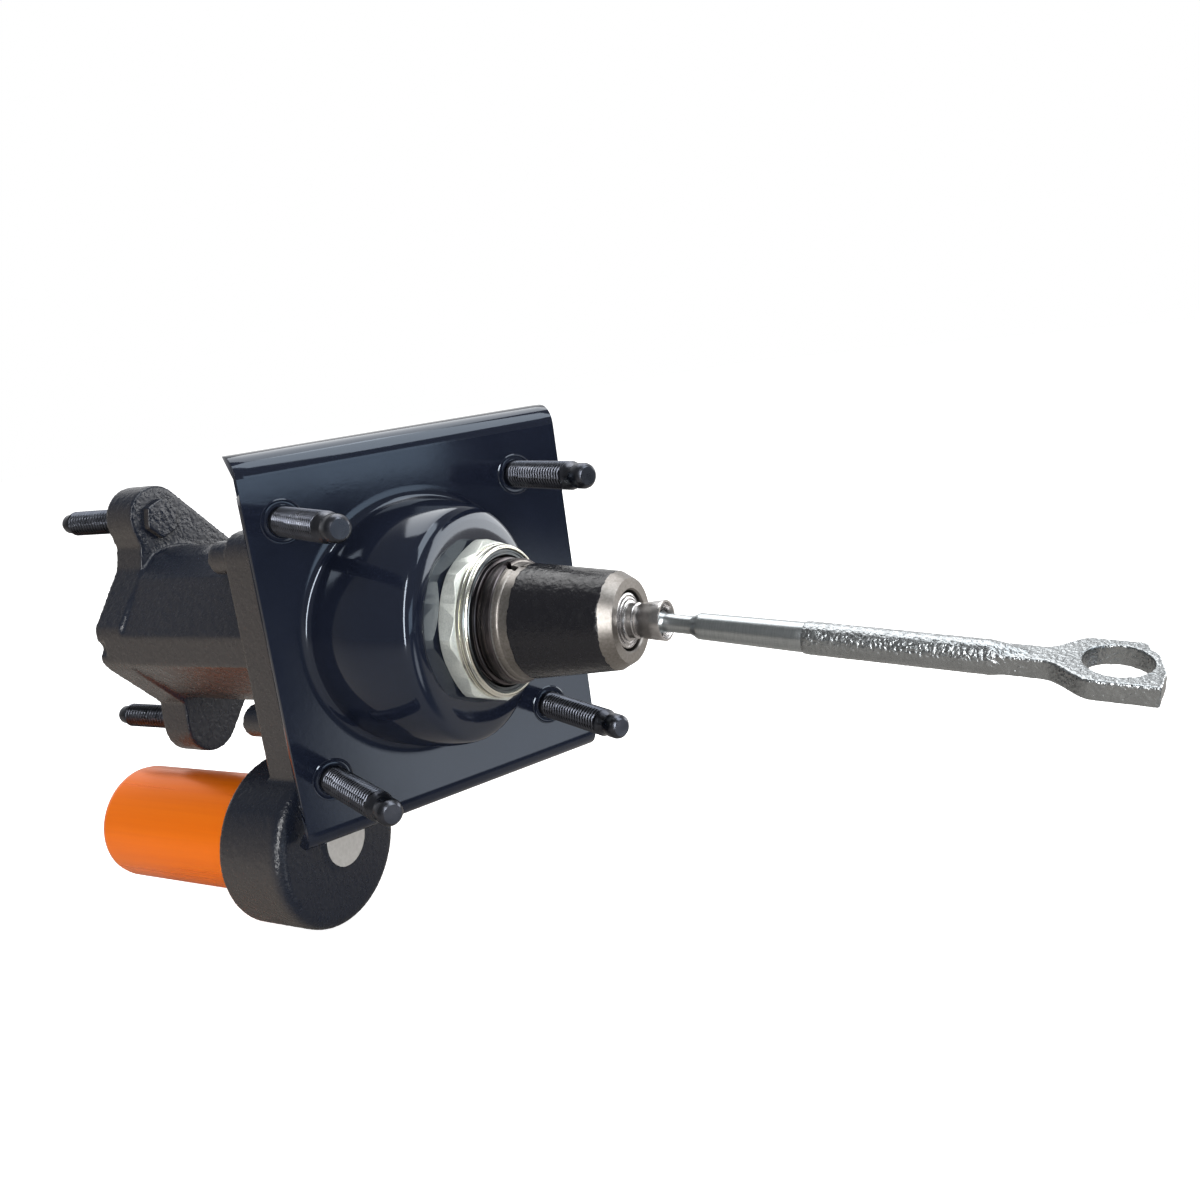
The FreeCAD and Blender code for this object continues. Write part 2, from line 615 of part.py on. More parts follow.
def housing():
    """One casting: slab and arm, accumulator boss, barrel, valve ridge and master-cylinder flange."""
    upper, lower = ear_spots()
    valve = (VALVE_X, 0)

    slab = plate_y([(-SLAB_LEFT, SLAB_TOP), (SLAB_RIGHT, SLAB_TOP), (SLAB_RIGHT, -SLAB_TOP),
                    (ARM_RIGHT, -SLAB_TOP), (ARM_RIGHT, ACC_Z), (-SLAB_LEFT, ACC_Z)], SLAB_REAR, SLAB_FRONT)
    corners = edges_at(slab, lambda m: abs(m.y - (SLAB_REAR + SLAB_FRONT) / 2) < 0.01
                       and abs(abs(m.z) - SLAB_TOP) < 0.01)
    slab = slab.makeFillet(SLAB_CORNER, corners)
    boss = bar(BOSS_RADIUS, SLAB_REAR, BOSS_FRONT, ACC_X, ACC_Z)
    rear_rim = edges_at(boss, lambda m: abs(m.y - SLAB_REAR) < 0.01)
    boss = boss.makeFillet(BOSS_EDGE, rear_rim)
    front_rim = edges_at(boss, lambda m: abs(m.y - BOSS_FRONT) < 0.01)
    boss = boss.makeChamfer(2.0, front_rim)
    patch = bar(PATCH_RADIUS, SLAB_REAR - PATCH_PROUD, SLAB_REAR + 1, PATCH_X, PATCH_Z)

    barrel = hull_of_two((0, 0), BARREL_RADIUS, valve, VALVE_RIDGE_RADIUS, SLAB_FRONT - 1, MC_FACE)
    facets = plate_y([(-BAND_X, BAND_TOP), (-FACET_X, FACET_TOP), (0, BARREL_RADIUS), (0, -BARREL_RADIUS),
                      (-LOW_FACET_X, -LOW_FACET_Z), (-BAND_X, -BAND_BOTTOM)], SLAB_FRONT - 1, MC_FACE)
    top_facet_x = FACET_X / 2
    limits = plate_y([(-BAND_X, BAND_TOP), (-FACET_X, FACET_TOP), (-top_facet_x, BARREL_RADIUS - 1.2),
                      (-top_facet_x / 2, BARREL_REACH), (SLAB_RIGHT, BARREL_REACH),
                      (SLAB_RIGHT, -BARREL_REACH), (-top_facet_x / 2, -BARREL_REACH),
                      (-LOW_FACET_X, -LOW_FACET_Z), (-BAND_X, -BAND_BOTTOM)], SLAB_FRONT - 1, BARREL_FRONT)

    right_radius = VALVE_RIDGE_RADIUS + 1
    flange = hull_of_two(upper, EAR_RADIUS, valve, right_radius, BARREL_FRONT, MC_FACE)
    flange = flange.fuse(hull_of_two(lower, EAR_RADIUS, valve, right_radius, BARREL_FRONT, MC_FACE))
    ear_left = upper[0] - EAR_RADIUS
    low_ear_left = lower[0] - EAR_RADIUS
    shoulder_z = upper[1] - EAR_SHOULDER_DROP
    low_neck_z = lower[1] + LOW_EAR_NECK_RISE
    side = [(ear_left + 1.2, shoulder_z), (ear_left + 2.0, upper[1] - EAR_NECK_DROP), (-WAIST_X, WAIST_Z),
            (-BAND_X + 0.6, 5.9), (-BAND_X, 3.4), (-BAND_X, -7.4), (2.4 - BAND_X, -11.0),
            (low_ear_left + 0.6, low_neck_z)]
    flange = flange.fuse(plate_y(side + [(low_ear_left, lower[1]), (12, lower[1]), (12, upper[1])],
                                 BARREL_FRONT, MC_FACE))
    far_left = -BAND_X - 5
    beyond = MC_SPACING
    outline = [(far_left, beyond), (far_left, shoulder_z)] + side
    outline += [(far_left, low_neck_z), (far_left, -beyond)]
    outline += [(SLAB_RIGHT + 10, -beyond), (SLAB_RIGHT + 10, beyond)]
    flange = flange.fuse(barrel).common(plate_y(outline, BARREL_FRONT, MC_FACE))
    notch = bar(NOTCH_RADIUS, MC_FACE - NOTCH_LENGTH, MC_FACE + 1, -BAND_X - NOTCH_RADIUS / 2, -2.0)
    flange = flange.cut(notch)

    body = slab.fuse([boss, patch, barrel.fuse(facets).common(limits), flange])
    for y in PORT_SPOTS:
        body = body.fuse(Part.makeCylinder(PORT_BOSS_RADIUS, PORT_FACE_X - VALVE_X,
                                           V(VALVE_X, y, 0), V(1, 0, 0)))
    body = body.fuse(Part.makeCylinder(NIPPLE_BOSS_RADIUS, -NIPPLE_BOSS_Z - VALVE_RIDGE_RADIUS / 2,
                                       V(VALVE_X, NIPPLE_Y, NIPPLE_BOSS_Z), V(0, 0, 1)))
    for x, z in COVER_BOLT_SPOTS:
        body = body.fuse(bar(BOLT_BOSS_RADIUS, SLAB_FRONT - 1, SLAB_FRONT + BOLT_BOSS_LENGTH, x, z))
    body = body.removeSplitter()

    bore = turned([
        (0, SLAB_REAR - 1),
        (PISTON_BORE, SLAB_REAR - 1),
        (PISTON_BORE, SPRING_SEAT),
        (ROD_HOLE_RADIUS, SPRING_SEAT),
        (ROD_HOLE_RADIUS, SNOUT_FLOOR),
        (SNOUT_RADIUS, SNOUT_FLOOR),
        (SNOUT_RADIUS, MC_FACE + 1),
        (0, MC_FACE + 1),
    ])
    half = LEVER_POCKET_HALF_HEIGHT
    pocket = box(0, VALVE_X, LEVER_REAR - 2.5, LEVER_POCKET_END, -half, half)
    pocket = pocket.fuse(bar(half, LEVER_REAR - 2.5, LEVER_POCKET_END, VALVE_X, 0))
    sleeve_outer = SPOOL_RADIUS + SLEEVE_WALL
    valve_bore = bar(sleeve_outer + SEATED, LEVER_POCKET_END - 1, MC_FACE + 1, VALVE_X, 0)
    socket = bar(CAN_RADIUS + SEATED, CAN_REAR - SEATED, BOSS_FRONT + 1, ACC_X, ACC_Z)
    feed = bar(FEED_RADIUS, SLAB_REAR + 4, CAN_REAR + 1, ACC_X, ACC_Z)
    body = body.cut([bore, pocket, valve_bore, socket, feed])
    body = body.cut(Part.makeCylinder(FEED_RADIUS, FEED_DRILL_LENGTH,
                                      V(ACC_X, SLAB_REAR + FEED_DRILL_START, ACC_Z), V(0.42, 0, 1)))
    floor = PORT_FACE_X - PORT_DEPTH
    for y in PORT_SPOTS:
        body = body.cut(Part.makeCylinder(PORT_RADIUS, PORT_DEPTH, V(floor, y, 0), V(1, 0, 0)))
        body = body.cut(Part.makeCylinder(PORT_SEAT_RADIUS, PORT_SEAT_DEPTH + 1,
                                          V(floor - PORT_SEAT_DEPTH, y, 0), V(1, 0, 0)))
        body = body.cut(Part.makeCylinder(PORT_DRILLING, floor - VALVE_X, V(VALVE_X, y, 0), V(1, 0, 0)))
    body = body.cut(Part.makeCylinder(NIPPLE_SEAT_RADIUS + SEATED, NIPPLE_TOP_Z - NIPPLE_BOSS_Z + 3,
                                      V(VALVE_X, NIPPLE_Y, NIPPLE_BOSS_Z - 1), V(0, 0, 1)))
    for x, z in COVER_BOLT_SPOTS:
        body = body.cut(bar(COVER_BOLT_RADIUS + SEATED, SLAB_REAR - 1, COVER_BOLT_END + SEATED, x, z))
    blind_end = BARREL_FRONT + MC_STUD_BLIND_WALL
    body = body.cut(bar(STUD_PRESS_RADIUS + SEATED, BARREL_FRONT - 1, MC_FACE + 1, *upper))
    head_room = BARREL_FRONT - MC_STUD_HEAD_HEIGHT - 2
    body = body.cut(bar(MC_STUD_HEAD_FLATS * 0.6, head_room, BARREL_FRONT, *upper))
    body = body.cut(bar(STUD_PRESS_RADIUS + SEATED, blind_end - SEATED, MC_FACE + 1, *lower))
    return booster(body)


def master_cylinder_studs():
    """Two studs. The upper one has a low hex head behind its ear, the lower one sits in a blind hole."""
    upper, lower = ear_spots()
    head_start = BARREL_FRONT - MC_STUD_HEAD_HEIGHT
    head = prism(6, MC_STUD_HEAD_FLATS, head_start, BARREL_FRONT - SEATED, 12, *upper)
    corner = MC_STUD_HEAD_FLATS / 2 / math.cos(math.pi / 6)
    crown = turned([(0, BARREL_FRONT), (corner, BARREL_FRONT), (corner, head_start + 0.9),
                    (corner - 1.4, head_start), (0, head_start)], *upper)
    solids = []
    for spot, start in ((upper, head_start + 1), (lower, BARREL_FRONT + MC_STUD_BLIND_WALL)):
        tip = MC_FACE + MC_STUD_LENGTH
        shank = turned([(0, start), (STUD_PRESS_RADIUS, start),
                        (STUD_PRESS_RADIUS, MC_FACE), (STUD_RADIUS, MC_FACE), (STUD_RADIUS, tip - 5.2),
                        (STUD_NECK_RADIUS + 0.2, tip - 4.4), (STUD_NECK_RADIUS + 0.2, tip - 1.2),
                        (STUD_NECK_RADIUS - 0.8, tip), (0, tip)], *spot)
        if spot == upper:
            shank = shank.fuse(head.common(crown)).removeSplitter()
        solids.append(booster(shank))
    return Part.makeCompound(solids)


def accumulator_can():
    """Drawn aluminium can, open towards the boss, with a small fill plug boss on its far end."""
    inner = CAN_RADIUS - CAN_WALL
    shell = turned([
        (inner, CAN_REAR),
        (CAN_RADIUS, CAN_REAR),
        (CAN_RADIUS, CAN_END - CAN_EDGE),
        (CAN_RADIUS - 0.3 * CAN_EDGE, CAN_END - 0.3 * CAN_EDGE),
        (CAN_RADIUS - CAN_EDGE, CAN_END),
        (FILL_PLUG_RADIUS, CAN_END),
        (FILL_PLUG_RADIUS, CAN_END - CAN_WALL),
        (inner - 2, CAN_END - CAN_WALL),
        (inner, CAN_END - CAN_WALL - 2),
    ], ACC_X, ACC_Z)
    return booster(shell)


def accumulator_fill_plug():
    """Screwed plug that closes the gas side, with a hex socket."""
    plug = bar(FILL_PLUG_RADIUS - SEATED, CAN_END - CAN_WALL, CAN_END + 0.6, ACC_X, ACC_Z)
    return booster(plug.cut(prism(6, FILL_PLUG_HEX, CAN_END - 2, CAN_END + 1, 0, ACC_X, ACC_Z)))


def accumulator_piston():
    """Floating piston between gas and fluid, with two ring grooves."""
    radius = CAN_RADIUS - CAN_WALL - RUNNING
    rear = CAN_REAR + ACC_PISTON_AHEAD
    front = rear + ACC_PISTON_LENGTH
    root = radius - ACC_GROOVE_DEPTH
    floor = rear + ACC_GROOVE_END + 2
    shape = turned([
        (0, rear), (radius - 1, rear), (radius, rear + 1), (radius, rear + ACC_GROOVE_START),
        (root, rear + ACC_GROOVE_START), (root, rear + ACC_GROOVE_END), (radius, rear + ACC_GROOVE_END),
        (radius, front), (radius - ACC_PISTON_WALL, front), (radius - ACC_PISTON_WALL, floor), (0, floor),
    ], ACC_X, ACC_Z)
    return booster(shape)


def accumulator_piston_ring():
    """Seal in the floating piston's groove."""
    radius = CAN_RADIUS - CAN_WALL - RUNNING
    rear = CAN_REAR + ACC_PISTON_AHEAD
    return booster(tube(radius, radius - ACC_GROOVE_DEPTH + SEATED, rear + ACC_GROOVE_START + SEATED,
                        rear + ACC_GROOVE_END - SEATED, ACC_X, ACC_Z))


def accumulator_retaining_ring():
    """Snap ring at the boss mouth."""
    return booster(tube(CAN_RADIUS + RETAINING_RING_WIDTH, CAN_RADIUS + SEATED, BOSS_FRONT + SEATED,
                        BOSS_FRONT + RETAINING_RING_THICK, ACC_X, ACC_Z))


def input_rod_bush():
    """Bronze bush that guides the input rod in the neck."""
    return booster(tube(NECK_BORE_RADIUS - SEATED, INPUT_RADIUS + RUNNING, -BUSH_REAR, -BUSH_FRONT))


def input_rod_seal():
    """Lip seal outside the bush."""
    return booster(tube(NECK_BORE_RADIUS - SEATED, INPUT_RADIUS + RUNNING, -LIP_SEAL_REAR,
                        -LIP_SEAL_FRONT))


def input_seal_washer():
    """Flat washer that backs the lip seal."""
    return booster(tube(NECK_BORE_RADIUS - SEATED, INPUT_RADIUS + RUNNING,
                        -LIP_SEAL_REAR - SEAL_WASHER_THICK, -LIP_SEAL_REAR - SEATED))


def input_rod():
    """Ground steel rod: guided shank inside the neck, stepped face and the cup of the ball socket."""
    nose = LEVER_REAR - ROD_NOSE_GAP
    pocket = BALL_RADIUS + LINER_WALL + RUNNING
    shape = turned([
        (0, nose), (ROD_NOSE_RADIUS - 0.4, nose), (ROD_NOSE_RADIUS, nose - 0.6), (ROD_NOSE_RADIUS, 24),
        (INPUT_RADIUS, 18), (INPUT_RADIUS, -INPUT_DISC_Y + 0.4), (INPUT_RADIUS - 0.4, -INPUT_DISC_Y),
        (7.2, -INPUT_DISC_Y), (7.2, -INPUT_DISC_Y - 0.5), (6.3, -INPUT_DISC_Y - 0.8),
        (SOCKET_NECK_RADIUS + 0.3, -INPUT_DISC_Y - 0.8),
        (SOCKET_NECK_RADIUS, -INPUT_DISC_Y - 1.2), (SOCKET_NECK_RADIUS, -CUP_START + 0.6),
        (SOCKET_NECK_RADIUS - 0.5, -CUP_START + 0.3), (SOCKET_NECK_RADIUS - 0.5, -CUP_START - 0.3),
        (CUP_BACK_RADIUS, -CUP_START - 0.7), (CUP_RIM_RADIUS, -CUP_RIM), (0, -CUP_RIM),
    ])
    hollow = Part.makeSphere(pocket, V(0, -BALL_Y, 0))
    mouth = turned([(0, -BALL_Y), (pocket, -BALL_Y), (pocket, -BALL_Y - 1.6),
                    (CUP_RIM_RADIUS - 0.8, -CUP_RIM - 0.01), (0, -CUP_RIM - 0.01)])
    return booster(shape.cut(hollow).cut(mouth))


def ball_liner():
    """Thin plastic shell between the ball and the cup."""
    outer = Part.makeSphere(BALL_RADIUS + LINER_WALL, V(0, -BALL_Y, 0))
    inner = Part.makeSphere(BALL_RADIUS + RUNNING, V(0, -BALL_Y, 0))
    away = box(-9, 9, -BALL_Y - 20, -BALL_Y - 0.6, -9, 9)
    return booster(outer.cut(inner).cut(away))


def pedal_pushrod():
    """Forged rod with a ball end, a turned shank and a flat eye for the pedal pin."""
    shank = turned([
        (0, 0), (ROD_NECK_RADIUS - 0.6, 0), (ROD_NECK_RADIUS - 0.6, 3.4), (ROD_NECK_RADIUS + 0.9, 4.8),
        (ROD_NECK_RADIUS, ROD_NECK_START), (ROD_NECK_RADIUS, ROD_NECK_END),
        (ROD_TURNED_START_RADIUS, ROD_SHOULDER_END), (ROD_TURNED_END_RADIUS, ROD_TURNED_END),
        (ROD_FORGED_RADIUS, ROD_TURNED_END + 1.5), (ROD_FORGED_RADIUS, ROD_FORGED_END),
        (ROD_FORGED_RADIUS - 1.4, ROD_FORGED_END + 9), (0, ROD_FORGED_END + 9),
    ])
    ball = Part.makeSphere(BALL_RADIUS)
    half = EYE_HALF_WIDTH
    end = EYE_AT + EYE_END
    waist = ROD_FORGED_RADIUS - 0.6
    low = -EYE_THICK / 2
    flare_low = Part.BezierCurve()
    flare_low.setPoles([V(-waist, EYE_FLARE_START, low), V(-waist - 0.4, EYE_FLARE_START + 5, low),
                        V(-half, EYE_SQUARE_START - 5, low), V(-half, EYE_SQUARE_START, low)])
    flare_high = Part.BezierCurve()
    flare_high.setPoles([V(half, EYE_SQUARE_START - 2, low), V(half, EYE_SQUARE_START - 6, low),
                         V(waist + 0.4, EYE_FLARE_START + 4, low), V(waist, EYE_FLARE_START - 1, low)])
    edges = [
        Part.makeLine(V(-waist, ROD_FORGED_END - 2, low), V(-waist, EYE_FLARE_START, low)),
        flare_low.toShape(),
        Part.makeLine(V(-half, EYE_SQUARE_START, low), V(-half, end - 0.6, low)),
        Part.makeLine(V(-half, end - 0.6, low), V(-3.0, end + 0.4, low)),
        Part.makeLine(V(-3.0, end + 0.4, low), V(half - EYE_NICK - 1.0, end - 1.4, low)),
        Part.makeLine(V(half - EYE_NICK - 1.0, end - 1.4, low), V(half - EYE_NICK + 0.6, end - 3.2, low)),
        Part.makeLine(V(half - EYE_NICK + 0.6, end - 3.2, low), V(half, end - EYE_NICK, low)),
        Part.makeLine(V(half, end - EYE_NICK, low), V(half, EYE_SQUARE_START - 2, low)),
        flare_high.toShape(),
        Part.makeLine(V(waist, EYE_FLARE_START - 1, low), V(waist, ROD_FORGED_END - 2, low)),
        Part.makeLine(V(waist, ROD_FORGED_END - 2, low), V(-waist, ROD_FORGED_END - 2, low)),
    ]
    eye = Part.Face(Part.Wire(edges)).extrude(V(0, 0, EYE_THICK))
    eye = eye.makeFillet(0.7, edges_at(eye, lambda m: abs(abs(m.z) - EYE_THICK / 2) < 0.01))
    hole = Part.makeCylinder(EYE_HOLE_RADIUS, EYE_THICK + 4, V(0, EYE_AT, low - 2))
    rod = shank.fuse(ball).fuse(eye).cut(hole).removeSplitter()
    rod.rotate(V(0, 0, 0), V(1, 0, 0), 180)
    rod.rotate(V(0, 0, 0), V(0, 1, 0), -ROD_ROLL)
    rod.rotate(V(0, 0, 0), V(1, 0, 0), ROD_DROOP)
    rod.translate(V(0, -BALL_Y, 0))
    return booster(rod)


def power_piston():
    """Stepped piston: lever ears at the rear, seal land in front, hollow for the return spring."""
    land = PISTON_BORE - RUNNING
    groove = (PISTON_LAND_START + PISTON_LAND_END - SEAL_WIDTH) / 2
    shape = turned([
        (0, PISTON_REAR), (PISTON_SKIRT - 1, PISTON_REAR), (PISTON_SKIRT, PISTON_REAR + 1),
        (PISTON_SKIRT, PISTON_LAND_START), (land, PISTON_LAND_START), (land, groove),
        (land - SEAL_DEPTH, groove), (land - SEAL_DEPTH, groove + SEAL_WIDTH), (land, groove + SEAL_WIDTH),
        (land, PISTON_LAND_END), (PISTON_CUP_RADIUS, PISTON_LAND_END),
        (PISTON_CUP_RADIUS, PISTON_CUP_FLOOR), (0, PISTON_CUP_FLOOR),
    ])
    for side in (1, -1):
        z_near = LEVER_HALF_HEIGHT + LEVER_SIDE_GAP
        z_far = z_near + PISTON_EAR_THICK
        z0, z1 = (z_near, z_far) if side == 1 else (-z_far, -z_near)
        ear = box(LEVER_PIN_X - PISTON_EAR_HALF_WIDTH, LEVER_PIN_X + PISTON_EAR_HALF_WIDTH,
                  LEVER_Y - PISTON_EAR_HALF_WIDTH, PISTON_REAR + 1, z0, z1)
        shape = shape.fuse(ear)
    pin_hole = Part.makeCylinder(LEVER_PIN_RADIUS + SEATED, 2 * PIN_HOLE_REACH,
                                 V(LEVER_PIN_X, LEVER_Y, -PIN_HOLE_REACH))
    rod_hole = bar(OUTPUT_ROD_RADIUS + SEATED, PISTON_CUP_FLOOR - ROD_SOCKET_DEPTH, PISTON_CUP_FLOOR + 1)
    return booster(shape.cut(pin_hole).cut(rod_hole).removeSplitter())


def piston_seal():
    """Seal ring in the power piston's land."""
    land = PISTON_BORE - RUNNING
    groove = (PISTON_LAND_START + PISTON_LAND_END - SEAL_WIDTH) / 2
    return booster(tube(land, land - SEAL_DEPTH + SEATED, groove + SEATED, groove + SEAL_WIDTH - SEATED))


def lever_pin():
    """Steel pin through the piston ears and the lever."""
    half = LEVER_HALF_HEIGHT + LEVER_SIDE_GAP + PISTON_EAR_THICK
    return booster(Part.makeCylinder(LEVER_PIN_RADIUS, 2 * half, V(LEVER_PIN_X, LEVER_Y, -half)))


def actuating_lever():
    """Flat lever from the piston pin past the input rod's nose to the valve stem."""
    middle = box(LEVER_PIN_X, VALVE_X, LEVER_REAR, LEVER_FRONT, -LEVER_HALF_HEIGHT, LEVER_HALF_HEIGHT)
    knuckle = Part.makeCylinder(LEVER_THICK / 2, 2 * LEVER_HALF_HEIGHT,
                                V(LEVER_PIN_X, LEVER_Y, -LEVER_HALF_HEIGHT))
    ring = bar(LEVER_RING_RADIUS, LEVER_REAR, LEVER_FRONT, VALVE_X, 0)
    shape = middle.fuse([knuckle, ring])
    shape = shape.cut(bar(STEM_RADIUS + 1.0, LEVER_REAR - 1, LEVER_FRONT + 1, VALVE_X, 0))
    shape = shape.cut(Part.makeCylinder(LEVER_PIN_RADIUS + RUNNING, 2 * PIN_HOLE_REACH,
                                        V(LEVER_PIN_X, LEVER_Y, -PIN_HOLE_REACH)))
    return booster(shape.removeSplitter())


def output_rod():
    """Steel rod from the power piston to the master cylinder."""
    start = PISTON_CUP_FLOOR - ROD_SOCKET_DEPTH + SEATED
    return booster(turned([
        (0, start), (OUTPUT_ROD_RADIUS, start), (OUTPUT_ROD_RADIUS, OUTPUT_ROD_TIP - 3),
        (OUTPUT_ROD_RADIUS - 1.2, OUTPUT_ROD_TIP - 0.8), (OUTPUT_ROD_RADIUS - 3, OUTPUT_ROD_TIP),
        (0, OUTPUT_ROD_TIP),
    ]))


def output_rod_retainer():
    """Spring-steel ring that holds the output rod in the piston."""
    return booster(tube(PISTON_CUP_RADIUS - RETAINER_EDGE_GAP, OUTPUT_ROD_RADIUS + SEATED,
                        PISTON_CUP_FLOOR + SEATED, PISTON_CUP_FLOOR + 1.2))


def return_spring():
    """Return spring between the piston and the housing's front wall."""
    return booster(coil(RETURN_COIL_RADIUS, RETURN_WIRE / 2, PISTON_CUP_FLOOR + SEATED,
                        SPRING_SEAT - SEATED, RETURN_TURNS))


def spool_valve():
    """Hardened spool with three lands and a long stem to the lever."""
    r = SPOOL_RADIUS - RUNNING
    waist = r - SPOOL_WAIST_DEPTH
    points = [(0, STEM_REAR), (STEM_RADIUS - 0.4, STEM_REAR), (STEM_RADIUS, STEM_REAR + 0.4),
              (STEM_RADIUS, SPOOL_START), (r, SPOOL_START)]
    for start, end in SPOOL_WAISTS:
        points += [(r, start), (waist, start), (waist, end), (r, end)]
    points += [(r, SPOOL_END), (0, SPOOL_END)]
    return booster(turned(points, VALVE_X, 0))


def spool_sleeve():
    """Ported sleeve that the spool runs in."""
    sleeve = tube(SPOOL_RADIUS + SLEEVE_WALL, SPOOL_RADIUS, SLEEVE_START, SLEEVE_END, VALVE_X, 0)
    for start, end in SPOOL_WAISTS:
        y = (start + end) / 2
        sleeve = sleeve.cut(Part.makeCylinder(SLEEVE_PORT_RADIUS, 20, V(VALVE_X, y, -10)))
        sleeve = sleeve.cut(Part.makeCylinder(SLEEVE_PORT_RADIUS, 20, V(VALVE_X - 10, y, 0), V(1, 0, 0)))
    return booster(sleeve)


def spool_follower():
    """Ring on the valve stem that the lever pushes."""
    return booster(tube(FOLLOWER_RADIUS, STEM_RADIUS + RUNNING, FOLLOWER_REAR,
                        FOLLOWER_REAR + FOLLOWER_LENGTH, VALVE_X, 0))


def spool_spring():
    """Light spring between the follower and the spool."""
    return booster(coil(SPOOL_COIL_RADIUS, SPOOL_WIRE / 2, FOLLOWER_REAR + FOLLOWER_LENGTH + SEATED,
                        SPOOL_START - SEATED, SPOOL_TURNS, VALVE_X, 0))


def spool_plug():
    """Plug that closes the valve bore at the flange face, with a hex socket."""
    outer = SPOOL_RADIUS + SLEEVE_WALL
    root = outer - PLUG_GROOVE_DEPTH
    plug = turned([(0, SLEEVE_END + SEATED), (outer, SLEEVE_END + SEATED), (outer, PLUG_GROOVE_START),
                   (root, PLUG_GROOVE_START), (root, PLUG_GROOVE_END), (outer, PLUG_GROOVE_END),
                   (outer, MC_FACE - 1.5), (outer - 1, MC_FACE - 0.5), (0, MC_FACE - 0.5)], VALVE_X, 0)
    return booster(plug.cut(prism(6, PLUG_SOCKET_FLATS, MC_FACE - PLUG_SOCKET_DEPTH, MC_FACE + 1, 0,
                                  VALVE_X, 0)))


def plug_o_ring():
    """Rubber ring on the plug."""
    outer = SPOOL_RADIUS + SLEEVE_WALL
    return booster(tube(outer, outer - PLUG_GROOVE_DEPTH + SEATED, PLUG_GROOVE_START + SEATED,
                        PLUG_GROOVE_END - SEATED, VALVE_X, 0))


def return_nipple():
    """Steel hose nipple for the return line."""
    top = NIPPLE_TOP_Z
    step = NIPPLE_BOSS_Z - 0.2
    end = NIPPLE_END_Z
    points = [(NIPPLE_BORE, top), (NIPPLE_SEAT_RADIUS, top), (NIPPLE_SEAT_RADIUS, step),
              (NIPPLE_RADIUS, step), (NIPPLE_RADIUS, end + 0.6), (NIPPLE_RADIUS - 0.6, end),
              (NIPPLE_BORE, end), (NIPPLE_BORE, top)]
    wire = Part.makePolygon([V(r, 0, z) for r, z in points])
    shape = Part.Face(wire).revolve(V(0, 0, 0), V(0, 0, 1), 360)
    shape.translate(V(VALVE_X, NIPPLE_Y, 0))
    return booster(shape)


def port_seats():
    """Brass flare seats below the floors of the two threaded ports."""
    solids = []
    rear = PORT_FACE_X - PORT_DEPTH - PORT_SEAT_DEPTH + SEATED
    radius = PORT_SEAT_RADIUS - SEATED
    for y in PORT_SPOTS:
        seat = Part.makeCylinder(radius, PORT_SEAT_DEPTH / 2, V(rear, y, 0), V(1, 0, 0))
        cone = Part.makeCone(radius - 0.6, PORT_DRILLING + 0.8, PORT_SEAT_DEPTH / 2 - 0.2,
                             V(rear + PORT_SEAT_DEPTH / 2, y, 0), V(1, 0, 0))
        hole = Part.makeCylinder(PORT_DRILLING, PORT_SEAT_DEPTH + 2, V(rear - 1, y, 0), V(1, 0, 0))
        solids.append(booster(seat.fuse(cone).cut(hole)))
    return Part.makeCompound(solids)


PIECES = [
    mounting_bracket, firewall_studs, bracket_nut, rear_cover, cover_seal, cover_bolts, housing,
    master_cylinder_studs, accumulator_can, accumulator_fill_plug, accumulator_piston,
    accumulator_piston_ring, accumulator_retaining_ring, input_rod_bush, input_rod_seal,
    input_seal_washer, input_rod, ball_liner, pedal_pushrod, power_piston, piston_seal, lever_pin,
    actuating_lever, output_rod, output_rod_retainer, return_spring, spool_valve, spool_sleeve,
    spool_follower, spool_spring, spool_plug, plug_o_ring, return_nipple, port_seats,
]

os.makedirs("parts", exist_ok=True)
for piece in PIECES:
    shape = piece()
    shape.exportStep("parts/" + piece.__name__ + ".step")
    print(piece.__name__, len(shape.Solids), round(shape.Volume), shape.isValid())
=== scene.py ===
import json
import math

import bpy
from mathutils import Matrix, Vector


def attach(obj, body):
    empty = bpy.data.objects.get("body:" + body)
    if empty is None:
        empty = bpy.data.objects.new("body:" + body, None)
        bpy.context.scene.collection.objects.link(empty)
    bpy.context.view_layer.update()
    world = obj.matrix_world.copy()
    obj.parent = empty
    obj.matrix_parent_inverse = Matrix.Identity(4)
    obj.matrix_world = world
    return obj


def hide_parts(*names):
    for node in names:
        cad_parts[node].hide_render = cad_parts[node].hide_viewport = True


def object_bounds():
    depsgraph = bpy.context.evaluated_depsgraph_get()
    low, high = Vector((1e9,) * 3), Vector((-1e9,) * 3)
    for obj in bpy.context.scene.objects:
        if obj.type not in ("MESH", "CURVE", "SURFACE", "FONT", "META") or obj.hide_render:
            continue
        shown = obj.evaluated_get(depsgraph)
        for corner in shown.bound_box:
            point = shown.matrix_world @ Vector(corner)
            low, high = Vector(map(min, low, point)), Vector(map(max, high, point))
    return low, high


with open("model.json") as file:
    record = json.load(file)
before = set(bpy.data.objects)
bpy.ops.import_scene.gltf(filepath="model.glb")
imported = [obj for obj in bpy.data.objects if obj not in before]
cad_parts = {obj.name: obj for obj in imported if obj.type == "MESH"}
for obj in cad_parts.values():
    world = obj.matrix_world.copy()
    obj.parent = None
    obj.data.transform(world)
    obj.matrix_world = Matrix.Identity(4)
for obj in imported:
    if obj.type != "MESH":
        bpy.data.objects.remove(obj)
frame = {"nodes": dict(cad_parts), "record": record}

cad_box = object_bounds()
scene = bpy.context.scene

